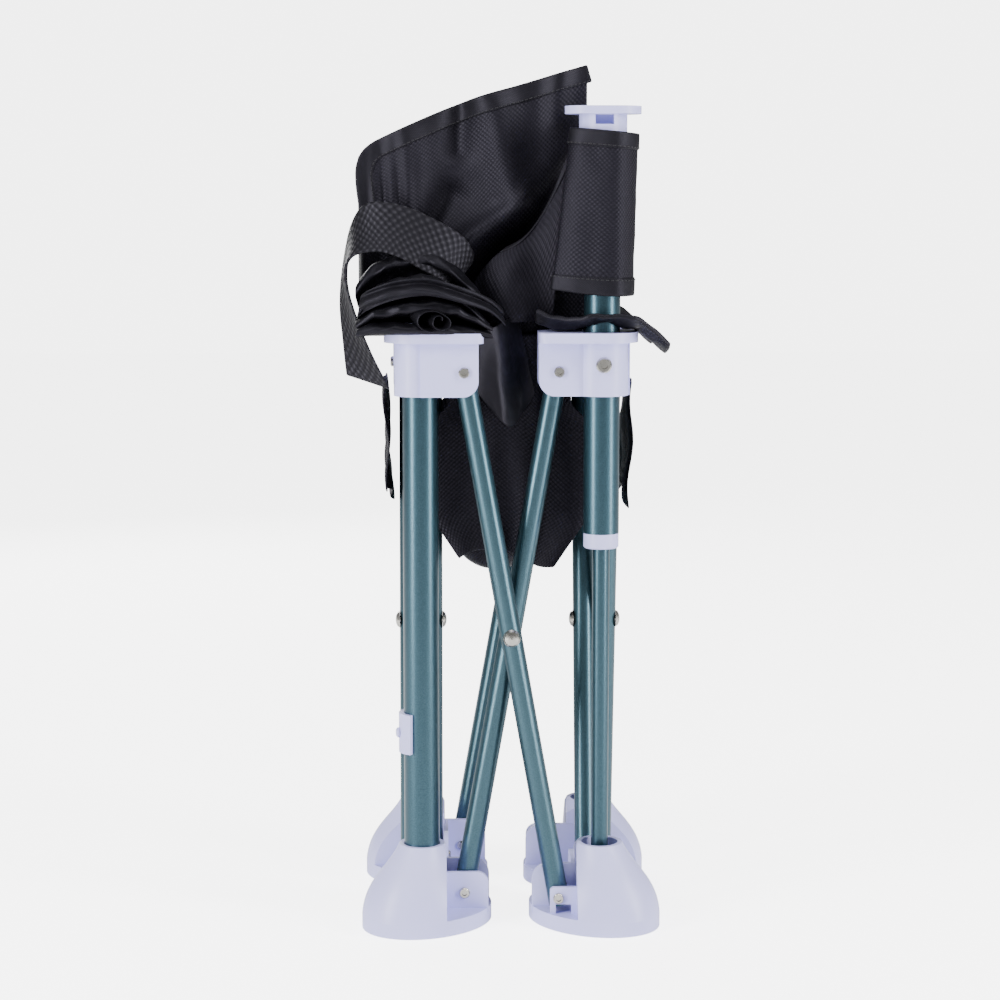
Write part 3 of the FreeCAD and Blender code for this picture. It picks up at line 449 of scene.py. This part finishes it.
def bindingPoint(side, inner, outer, lift):
    def place(u, v):
        start = u if u < 1 - binding["reach"] else u - binding["reach"]
        end = u + binding["reach"] if u < 1 - binding["reach"] else u
        along = (curvePoint(binding["path"], end) - curvePoint(binding["path"], start)).normalized()
        width = inner + (outer - inner) * v
        spot = curvePoint(binding["path"], u)
        return wingPoint(spot.x - along.y * width, spot.y + along.x * width, side, lift)
    return place


panel = makeSheet("backrest_panel", 150, 60, backrestPoint, backrest["cut"])
finishPiece(panel, finishes["oxford"], backrest["thick"])
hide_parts("backrest_front_wing", "backrest_rear_wing")
backrestExtras = []
for side, label in ((-1, "front"), (1, "rear")):
    edgePlace = bindingPoint(side, binding["outside"], backrest["hem"], binding["lift"])
    edge = makeSheet(f"backrest_{label}_binding", 110, 6, edgePlace, binding["cut"])
    finishPiece(edge, finishes["tape"], binding["thick"])
    seam = backrest["hem"] - binding["stitchIn"]
    seamPlace = bindingPoint(side, seam, seam, binding["stitchLift"])
    row = [seamPlace(step / binding["stitchSteps"], 0) for step in range(binding["stitchSteps"] + 1)]
    backrestExtras += [edge, stitchRow(f"backrest_{label}_stitches", row, finishes["thread"])]
for piece in [panel] + backrestExtras:
    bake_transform(piece)
print("backrest panel made")


# sleeves on the two tall posts

sleeve = {
    "top": 557.0, "bottom": 449.0, "thick": 1.3, "cut": (132.0, 108.0), "topHem": 11.0, "bottomHem": 10.6,
    # plan of the sleeve round the post's axis, clockwise from the left, at its top and at its bottom
    "topPlan": [(-22, -3), (-17, -13), (-4, -18.5), (8, -21), (17, -16), (23, -6), (21, 6), (12, 14.5),
                (-2, 15.5), (-15, 11)],
    "bottomPlan": [(-35, -6), (-27, -13), (-10, -18.5), (7, -22), (15, -16.5), (20, -7), (19, 6),
                   (11, 14.5), (-3, 15.5), (-23, 10)],
    "wrinkle": 0.5, "wrinkleSize": (12, 16), "droop": 3.5, "droopShare": 0.2, "tilt": -0.09,
    "hemLift": 0.8, "hemThick": 1.5, "hemOut": 0.6, "stitchIn": 1.6, "stitchLift": 1.75, "stitchSteps": 60,
}


def ringPoint(plan, turn):
    # a point on the closed smooth curve through the plan's points
    loop = [plan[-1]] + plan + [plan[0], plan[1]]
    spot = (turn % 1.0) * len(plan)
    index = int(spot)
    a, b, c, d = [Vector((*loop[index + k], 0)) for k in range(4)]
    return throughPoints(a, b, c, d, spot - index)


def sleevePoint(side, lift=0.0, low=sleeve["bottom"], high=sleeve["top"]):
    def place(u, v):
        z = low + (high - low) * v
        share = (z - sleeve["bottom"]) / (sleeve["top"] - sleeve["bottom"])
        point = ringPoint(sleeve["bottomPlan"], u).lerp(ringPoint(sleeve["topPlan"], u), share)
        outward = Vector((point.x, point.y, 0)).normalized()
        sizeXY, sizeZ = sleeve["wrinkleSize"]
        wrinkle = sleeve["wrinkle"] * noise.noise(Vector((point.x / sizeXY, z / sizeZ, side * 3.0)))
        point += outward * (lift + wrinkle)
        left = max(sleeve["droopShare"] - share, 0) / sleeve["droopShare"]
        sag = sleeve["droop"] * math.sin((point.x + 30) / 27.5) * left
        z += sleeve["tilt"] * point.x * share - sag
        return Vector((postReach + point.x, side * (postReach - point.y), z))
    return place


for side, label in ((-1, "front"), (1, "rear")):
    tube = makeSheet(f"{label}_right_sleeve_cloth", 84, 40, sleevePoint(side), sleeve["cut"], closed=True)
    finishPiece(tube, finishes["oxford"], sleeve["thick"])
    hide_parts(f"{label}_right_sleeve")
    extras = []
    topEnds = (sleeve["top"] - sleeve["topHem"], sleeve["top"] + sleeve["hemOut"])
    bottomEnds = (sleeve["bottom"] - sleeve["hemOut"], sleeve["bottom"] + sleeve["bottomHem"])
    for part, (low, high) in (("top", topEnds), ("bottom", bottomEnds)):
        hemCut = (sleeve["cut"][0], high - low)
        hem = makeSheet(f"{label}_right_sleeve_{part}_hem", 84, 5,
                        sleevePoint(side, sleeve["hemLift"], low, high), hemCut, closed=True)
        finishPiece(hem, finishes["tape"], sleeve["hemThick"])
        seam = low + sleeve["stitchIn"] if part == "top" else high - sleeve["stitchIn"]
        seamPlace = sleevePoint(side, sleeve["stitchLift"], seam, seam)
        row = [seamPlace(step / sleeve["stitchSteps"], 0) for step in range(sleeve["stitchSteps"] + 1)]
        extras += [hem, stitchRow(f"{label}_right_sleeve_{part}_stitches", row, finishes["thread"])]
    for piece in [tube] + extras:
        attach(piece, f"{label}_right_mast")
print("sleeves made")


# carrying strap: webbing that climbs past the left hub and doubles over towards the front

strap = {
    "cut": (222.0, 37.5), "thick": 1.9, "cup": 1.6, "reach": 0.01,
    # middle of the band, then the direction across it
    "middle": [(-99, -60, 385), (-106, -58, 408), (-113, -55, 436), (-115, -53, 463), (-109, -56, 484),
               (-95, -62, 492), (-76, -66, 489), (-57, -66, 480), (-41, -62, 470), (-35, -56, 458),
               (-43, -53, 449)],
    "across": [(-0.75, 0.5, 0.2), (-0.55, 0.75, 0.25), (-0.3, 0.92, 0.2), (-0.05, 0.98, 0.25),
               (0.0, 0.75, 0.66), (-0.1, 0.42, 0.9), (0.12, 0.35, 0.93), (0.32, 0.34, 0.88),
               (0.5, 0.42, 0.76), (0.5, 0.6, 0.62), (0.4, 0.75, 0.5)],
}


def strapPoint(u, v):
    middle = curvePoint(strap["middle"], u)
    across = curvePoint(strap["across"], u).normalized()
    cup = strap["cup"] * math.cos(math.pi * (v - 0.5)) * math.sin(math.pi * u)
    ahead = curvePoint(strap["middle"], min(u + strap["reach"], 1))
    behind = curvePoint(strap["middle"], max(u - strap["reach"], 0))
    along = (ahead - behind).normalized()
    return middle + across * (v - 0.5) * strap["cut"][1] + across.cross(along) * cup


webbingBand = makeSheet("carry_strap_webbing", 110, 16, strapPoint, strap["cut"])
finishPiece(webbingBand, finishes["webbing"], strap["thick"])
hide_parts("carry_strap")
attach(webbingBand, "front_left_leg")
print("carrying strap made")


# gathered corner pockets over the left posts: each is a bunch, a roll, an outer fold and a hanging tail

gather = {
    "cut": (118.0, 190.0), "thick": 1.0, "left": -106.0, "right": -14.0, "middleY": -66, "low": 417.0,
    # y and z of the bunch's zigzag
    "profile": [(-50, 417), (-64, 419), (-86, 419), (-90, 423), (-80, 426), (-62, 426), (-70, 430),
                (-87, 432), (-85, 437), (-66, 437), (-70, 442), (-84, 446), (-78, 452), (-60, 450),
                (-62, 456), (-72, 461), (-60, 468), (-48, 460), (-46, 440)],
    "twist": 4.0, "twistTurns": (5.2, 9), "crease": 4.2, "creaseSize": 13, "creaseSeed": 2.0,
    "pinch": 0.30, "lowest": 416.2,
    # height along the bunch: least, swell, where the swell starts and how much of a half wave it covers
    "swell": (0.62, 0.55, 0.06, 0.82), "swellPower": 0.8,
    "fallFrom": 0.55, "fall": 0.35, "rightFrom": 0.72, "rightDrop": 48, "leftTo": 0.12, "leftDrop": 56,
    "mostDrop": -24, "dropSoon": 1.6, "twistIn": 0.35, "twistUp": 0.36, "twistFull": 8, "sway": 2.5,
}
scroll = {"cut": (100.0, 40.0), "thick": 0.9, "turns": 1.7, "from": 1.8, "to": 10.5, "near": -93.0,
          "far": -56.0, "middle": (-50.0, 429.0), "uneven": 0.30, "sway": 1.5,
          # how far the roll's axis moves, and how its width and height grow, from the near end to the far end
          "shift": (-14, 9), "wide": (1.15, 0.7), "high": (0.85, 0.3)}
swoosh = {
    "cut": (125.0, 16.0), "thick": 1.1, "wave": 2.2, "wrinkle": 1.4, "wrinkleSize": 9,
    "upper": [(-103, -80, 446), (-97, -86, 450), (-80, -91, 456), (-58, -92, 458), (-35, -86, 452),
              (-16, -76, 444), (-6, -66, 436)],
    "lower": [(-106, -74, 430), (-98, -86, 436), (-80, -94, 443), (-58, -96, 446), (-35, -90, 441),
              (-15, -80, 434), (-4, -70, 424)],
}
tail = {
    "cut": (55.0, 46.0), "thick": 1.1, "wave": 3.5, "sway": 2.0, "wrinkle": 1.0, "wrinkleSize": 12,
    "top": [(-24, -82, 421), (-12, -72, 424), (-4, -60, 428), (6, -46, 430)],
    "foot": [(-24, -72, 378), (-12, -66, 362), (4, -58, 354), (18, -50, 376)],
}


def mirrored(spot, side):
    return Vector((spot.x, spot.y if side < 0 else -spot.y, spot.z))


def gatherPoint(side):
    def place(u, v):
        x = gather["left"] + (gather["right"] - gather["left"]) * u
        spot = curvePoint([(y, z, 0) for y, z in gather["profile"]], v)
        least, more, start, span = gather["swell"]
        swell = least + more * math.sin(math.pi * (start + span * u)) ** gather["swellPower"]
        fall = gather["fall"] * max(u - gather["fallFrom"], 0) / (1 - gather["fallFrom"])
        height = (spot.y - gather["low"]) * swell * (1 - fall)
        drop = -gather["rightDrop"] * max(u - gather["rightFrom"], 0) ** 1.3 * (1 if v < 0.5 else 1.2)
        drop -= gather["leftDrop"] * max(gather["leftTo"] - u, 0)
        folds = gather["crease"] * crease(x, spot.x, spot.y, gather["creaseSize"], gather["creaseSeed"])
        turnU, turnV = gather["twistTurns"]
        twist = gather["twist"] * math.sin(u * turnU + v * turnV) + folds
        pinch = 1 - gather["pinch"] * abs(2 * u - 1) ** 2
        y = gather["middleY"] + (spot.x - gather["middleY"]) * pinch - twist * gather["twistIn"]
        z = gather["low"] + height + gather["twistUp"] * twist * min(height / gather["twistFull"], 1)
        z += max(drop, gather["mostDrop"]) * min(v * gather["dropSoon"], 1)
        x += gather["sway"] * math.sin(v * 17) * (u - 0.5)
        return mirrored(Vector((x, y, max(z, gather["lowest"]))), side)
    return place


def scrollPoint(side):
    def place(u, v):
        angle = u * scroll["turns"] * 2 * math.pi
        reach = scroll["from"] + (scroll["to"] - scroll["from"]) * u
        reach *= 1 + scroll["uneven"] * math.sin(angle * 1.5 + v * 3)
        wide = scroll["wide"][0] + scroll["wide"][1] * v
        high = scroll["high"][0] + scroll["high"][1] * v
        x = scroll["middle"][0] + scroll["shift"][0] * v + reach * math.cos(angle) * wide
        y = scroll["near"] + (scroll["far"] - scroll["near"]) * v + scroll["sway"] * math.sin(angle)
        z = scroll["middle"][1] + scroll["shift"][1] * v + reach * math.sin(angle) * high
        return mirrored(Vector((x, y, z)), side)
    return place


def swooshPoint(side):
    def place(u, v):
        spot = curvePoint(swoosh["lower"], u).lerp(curvePoint(swoosh["upper"], u), v)
        wrinkle = swoosh["wrinkle"] * noise.noise(spot / swoosh["wrinkleSize"])
        spot.y += swoosh["wave"] * math.sin(v * 9 + u * 4) + wrinkle
        return mirrored(spot, side)
    return place


def tailPoint(side):
    def place(u, v):
        spot = curvePoint(tail["top"], u).lerp(curvePoint(tail["foot"], u), v)
        spot.y += tail["wave"] * math.sin(u * 8.5 + 0.6) * (0.4 + 0.6 * v)
        wrinkle = tail["wrinkle"] * noise.noise(spot / tail["wrinkleSize"])
        spot.x += tail["sway"] * math.sin(u * 6) * v + wrinkle
        return mirrored(spot, side)
    return place


pocketParts = [
    # ending of the name, sizes, shape, faces across and along, finish, how it is held
    ("", gather, gatherPoint, 80, 110, "lining", "gathered"),
    ("_roll", scroll, scrollPoint, 90, 14, "lining", "gathered"),
    ("_fold", swoosh, swooshPoint, 60, 12, "tape", "gathered"),
    ("_tail", tail, tailPoint, 40, 40, "lining", "hung"),
]
for side, label in ((-1, "front"), (1, "rear")):
    pocketName = f"{label}_left_pocket"
    for ending, sizes, shape, across, along, finishName, held in pocketParts:
        piece = makeSheet(pocketName + ending, across, along, shape(side), sizes["cut"])
        finishPiece(piece, finishes[finishName], sizes["thick"])
        if not ending:
            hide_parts(f"{label}_left_gather")
        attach(piece, f"{label}_left_leg")
print("corner pockets made")


# flaps that lie on the right hubs round their posts

flap = {"cut": (94.0, 58.0), "thick": 3.2, "left": -46.0, "right": 46.0, "near": -26.0, "far": 30.0,
        "hole": 13.8, "above": 1.9, "height": 2.4, "wave": 1.6, "wrinkleSize": 10, "lowest": -30,
        # where along and across the sheet each of its edges lifts or droops, and by how much
        "droopFrom": 0.76, "droop": 100, "cornerDroop": 20, "riseTo": 0.14, "rise": 22,
        "lipTo": 0.32, "lip": 7.0, "backFrom": 0.8, "back": 4.0}


def flapPlan(u, v):
    x = flap["left"] + (flap["right"] - flap["left"]) * u
    width = 1.0 - 0.55 * max(abs(2 * u - 1.1) - 0.35, 0) / 0.65
    return x, (flap["near"] + (flap["far"] - flap["near"]) * v) * width


def inFlapHole(u, v):
    return math.hypot(*flapPlan(u, v)) < flap["hole"]


def flapPoint(side):
    def place(u, v):
        x, y = flapPlan(u, v)
        lift = flap["height"] + flap["wave"] * math.sin(x * 0.11 + 1.5)
        lift += flap["wave"] * noise.noise(Vector((x / flap["wrinkleSize"], y / flap["wrinkleSize"], side)))
        past = max(u - flap["droopFrom"], 0)
        lift -= flap["droop"] * past ** 1.2 + flap["cornerDroop"] * past * abs(v - 0.35)
        lift += flap["rise"] * max(flap["riseTo"] - u, 0)
        lift += flap["lip"] * max(flap["lipTo"] - v, 0) / flap["lipTo"]
        lift += flap["back"] * max(v - flap["backFrom"], 0) / (1 - flap["backFrom"])
        if inFlapHole(u, v):
            turn = math.atan2(y, x)
            x, y = flap["hole"] * math.cos(turn), flap["hole"] * math.sin(turn)
        z = flangeTop / mm + flap["above"] + max(lift, flap["lowest"])
        return Vector((postReach + x, side * (postReach - y), z))
    return place


for side, label in ((-1, "front"), (1, "rear")):
    flapCloth = makeSheet(f"{label}_right_flap_cloth", 64, 44, flapPoint(side), flap["cut"], gone=inFlapHole)
    finishPiece(flapCloth, finishes["tape"], flap["thick"])
    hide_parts(f"{label}_right_flap")
    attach(flapCloth, f"{label}_right_mast")
print("hub flaps made")


# side panels between the backrest and the sleeves

sidePanel = {
    "cut": (72.0, 60.0), "thick": 1.2, "belly": -5.0, "wave": 3.0, "dip": 16.0,
    "left": [(-34, -40, 424), (-30, -42, 440), (-24, -43, 455), (-14, -44, 468), (-2, -44, 478)],
    "right": [(30, -50, 427), (32, -52, 455), (34, -54, 490), (38, -55, 520), (42, -55, 548)],
    "edgeCut": (80.0, 11.0), "edgeFlat": (60.0, 10.0), "edgeArea": 0.00036, "edgeThick": 1.5,
    "edgeFrom": 0.86, "edgeSpan": 0.145, "edgeLift": 0.9,
    "bendX": (-0.036, 0.028), "bendY": 0.05, "bendZ": 0.47,
}


def armPoint(side):
    def place(u, v):
        spot = curvePoint(sidePanel["left"], v).lerp(curvePoint(sidePanel["right"], v), u)
        arch = math.sin(math.pi * u)
        spot.y += sidePanel["belly"] * arch * (1 - v)
        spot.y += sidePanel["wave"] * math.sin(u * 9 + v * 3) * (1 - 0.5 * v)
        spot.z -= sidePanel["dip"] * arch * v
        return mirrored(spot, side)
    return place


def armEdgePoint(side):
    def place(u, v):
        spot = armPoint(side)(u, sidePanel["edgeFrom"] + sidePanel["edgeSpan"] * v)
        return spot + Vector((0, side * sidePanel["edgeLift"], 0))
    return place


for side, label in ((-1, "front"), (1, "rear")):
    wall = makeSheet(f"{label}_arm_panel", 50, 60, armPoint(side), sidePanel["cut"])
    finishPiece(wall, finishes["oxford"], sidePanel["thick"])
    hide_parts(f"{label}_arm_cloth")
    edge = makeSheet(f"{label}_arm_binding", 50, 5, armEdgePoint(side), sidePanel["edgeCut"])
    finishPiece(edge, finishes["tape"], sidePanel["edgeThick"])
    for piece in (wall, edge):
        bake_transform(piece)
print("arm panels made")


# seat: two crossing folds of cloth and a skirt on each side

pouch = {
    "flat": (330.0, 150.0), "thick": 1.2, "widestX": 46, "widestY": 38, "reach": 0.028, "bendZ": 0.33,
    "roundShare": 0.42, "roundPower": 2.6, "cornerPower": 0.55, "folds": 0.075, "foldCount": 5,
    "ripples": 0.04, "rippleCount": 9, "footShare": 0.92, "slumpFrom": -20, "slumpWidth": 60,
}
pouchFolds = [
    # name, CAD node, body it hangs from, way the far body lies,
    # half width, top, foot, slump, seed, size that the weave follows, area
    ("seat_upper_fold", "seat_sling_a", "front_left_slider", (1, 1),
     43.0, 416, 318, 0, 0.4, (330.0, 150.0), 0.0285),
    ("seat_lower_fold", "seat_sling_b", "front_right_mast", (-1, 1),
     42.0, 332, 243, 10, 1.9, (320.0, 150.0), 0.0250),
]


def pouchPoint(halfWide, top, foot, slump, seed):
    def place(u, v):
        angle = u * 2 * math.pi
        closing = 1 - max(1 - v / pouch["roundShare"], 0) ** pouch["roundPower"]
        corner = 1 / max(abs(math.cos(angle)), abs(math.sin(angle))) ** pouch["cornerPower"]
        folds = 1 - pouch["folds"] * (1 - math.cos(angle * pouch["foldCount"] + seed))
        folds -= pouch["ripples"] * math.sin(angle * pouch["rippleCount"] + 2 * v + seed)
        taper = pouch["footShare"] + (1 - pouch["footShare"]) * v
        reach = halfWide * corner * folds * math.sqrt(max(closing, 0.0)) * taper
        x, y = reach * math.cos(angle), reach * math.sin(angle)
        z = foot + (top - foot) * v + slump * (x - pouch["slumpFrom"]) / pouch["slumpWidth"] * (1 - v)
        wideX, wideY = pouch["widestX"], pouch["widestY"]
        return Vector((max(min(x, wideX), -wideX), max(min(y, wideY), -wideY), z))
    return place


for name, node, near, way, halfWide, top, foot, slump, seed, weave, area in pouchFolds:
    piece = makeSheet(name, 110, 50, pouchPoint(halfWide, top, foot, slump, seed), weave, closed=True)
    finishPiece(piece, finishes["oxford"], pouch["thick"])
    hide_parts(node)
    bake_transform(piece)

skirt = {
    "thick": 1.2, "inner": 60, "cutShare": 2.2, "bendShare": 0.8, "bendZ": 0.33, "hemWave": 7.0, "wave": 2.6,
    "outerCalm": 0.45, "wrinkle": 0.8, "wrinkleSize": (14, 30), "spread": 0.33, "rounding": 0.62,
    "spreadBelow": (368, 14), "roundBelow": (290, 40), "lean": 3.0, "buckle": 1.5, "seedStep": 1.7,
}
skirts = [
    # name, quarter turns, distance from the middle, half width, top, foot,
    # body it hangs from, hub, way it opens
    ("front_skirt", 0, 42.0, 43.0, 417.0, 258.0, "front_left_slider", "front_left_hub", (1, 0)),
    ("rear_skirt", 2, 42.0, 43.0, 417.0, 258.0, "rear_left_slider", "rear_left_hub", (1, 0)),
    ("left_skirt", 3, 88.0, 43.0, 384.0, 300.0, "front_left_slider", "front_left_hub", (0, 1)),
    ("right_skirt", 1, 86.0, 43.0, 384.0, 300.0, "front_right_mast", "front_right_hub", (0, 1)),
]


def stepDown(z, below):
    # 0 above a level, growing to 1 over the given drop and beyond
    level, drop = below
    return max((level - z) / drop, 0)


def skirtPoint(turns, out, half, top, foot, seed):
    inside = out < skirt["inner"]     # the front and rear skirts hang inside the bars, the other two outside

    def place(u, v):
        z = foot + (top - foot) * v + skirt["hemWave"] * math.sin(u * 5 + seed) * (1 - v)
        spread = 1
        if inside:
            spread += skirt["spread"] * min(stepDown(z, skirt["spreadBelow"]), 1)
            spread -= skirt["rounding"] * stepDown(z, skirt["roundBelow"])
        x = half * spread * (2 * u - 1)
        sizeX, sizeZ = skirt["wrinkleSize"]
        wave = skirt["wave"] * math.sin(u * 15 + seed + 1.2 * v) * (0.35 + 0.65 * (1 - v))
        wave += skirt["wrinkle"] * noise.noise(Vector((x / sizeX, z / sizeZ, seed)))
        if not inside:
            wave *= skirt["outerCalm"]
            wave += skirt["lean"] * (1 - v) + skirt["buckle"] * math.sin(v * 9 + u * 4)
        y = -out + wave
        for _ in range(turns):
            x, y = -y, x
        return Vector((x, y, z))
    return place


for index, (name, turns, out, half, top, foot, near, hub, way) in enumerate(skirts):
    cut = (skirt["cutShare"] * half, top - foot)
    shape = skirtPoint(turns, out, half, top, foot, index * skirt["seedStep"])
    cloth = makeSheet(f"{name}_cloth", 70, 50, shape, cut)
    finishPiece(cloth, finishes["oxford"], skirt["thick"])
    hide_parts(name)
    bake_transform(cloth)
print("seat and skirts made")


# floor, light and camera

studio = {
    "floor": (0.93, 0.93, 0.935), "floorHalf": 6.0, "floorDrop": 0.0002, "floorGlow": 0.5, "floorSeen": 4.6,
    "world": 0.27, "backdrop": 5.0,
    # where each panel stands, what it faces, its width and height, and its watts
    "panels": {"leftPanel": ((-1.35, -0.95, 0.75), (0, 0, 0.35), (0.32, 1.7), 46.0),
               "rightPanel": ((1.35, -0.75, 0.75), (0, 0, 0.35), (0.32, 1.7), 38.0),
               "topPanel": ((0.1, -0.5, 1.9), (0, 0, 0.4), (1.2, 1.2), 14.0),
               "backPanel": ((-0.5, 1.7, 1.0), (0, 0, 0.3), (0.9, 1.2), 22.0)},
    "cameraPlace": (-0.0609, -1.7287, 0.5171), "cameraTurn": (82.67, 0, -1.83), "lens": 86.75, "sensor": 36.0,
}

floorMesh = bpy.data.meshes.new("studio_floor")
bm = bmesh.new()
bmesh.ops.create_grid(bm, x_segments=1, y_segments=1, size=studio["floorHalf"])
bmesh.ops.translate(bm, verts=bm.verts, vec=(0, 0, -studio["floorDrop"]))
bm.to_mesh(floorMesh)
bm.free()
floor = bpy.data.objects.new("studio_floor", floorMesh)
bpy.context.scene.collection.objects.link(floor)
paper, paperTree, paperShader, paperPlace = startMaterial("studioPaper", {
    "Roughness": 0.9, "Base Color": (*studio["floor"], 1), "Emission Color": (1, 1, 1, 1)})
paperTree.nodes.remove(paperPlace)
paperSeen = paperTree.nodes.new("ShaderNodeLightPath")
spreadValue(paperTree, paperSeen.outputs["Is Camera Ray"], studio["floorGlow"], studio["floorSeen"],
            paperShader.inputs["Emission Strength"])
floorMesh.materials.append(paper)

world = bpy.data.worlds.new("studioWorld")
world.use_nodes = True
worldTree = world.node_tree
backdrop = worldTree.nodes["Background"]
backdrop.inputs["Color"].default_value = (1, 1, 1, 1)
seen = worldTree.nodes.new("ShaderNodeLightPath")
# a bright sweep behind, softer light on the seat
spreadValue(worldTree, seen.outputs["Is Camera Ray"], studio["world"], studio["backdrop"],
            backdrop.inputs["Strength"])
bpy.context.scene.world = world

for name, (place, target, size, watts) in studio["panels"].items():
    lamp = bpy.data.lights.new(name, "AREA")
    lamp.shape = "RECTANGLE"
    lamp.size, lamp.size_y = size
    lamp.energy = watts
    lampObject = bpy.data.objects.new(name, lamp)
    lampObject.location = place
    lampObject.rotation_euler = (Vector(target) - Vector(place)).to_track_quat("-Z", "Y").to_euler()
    bpy.context.scene.collection.objects.link(lampObject)

lens = bpy.data.cameras.new("productCamera")
lens.lens = studio["lens"]
lens.sensor_width = studio["sensor"]
camera = bpy.data.objects.new("productCamera", lens)
camera.location = studio["cameraPlace"]
camera.rotation_euler = Euler([math.radians(turn) for turn in studio["cameraTurn"]])
bpy.context.scene.collection.objects.link(camera)
bpy.context.scene.camera = camera
print("studio set")
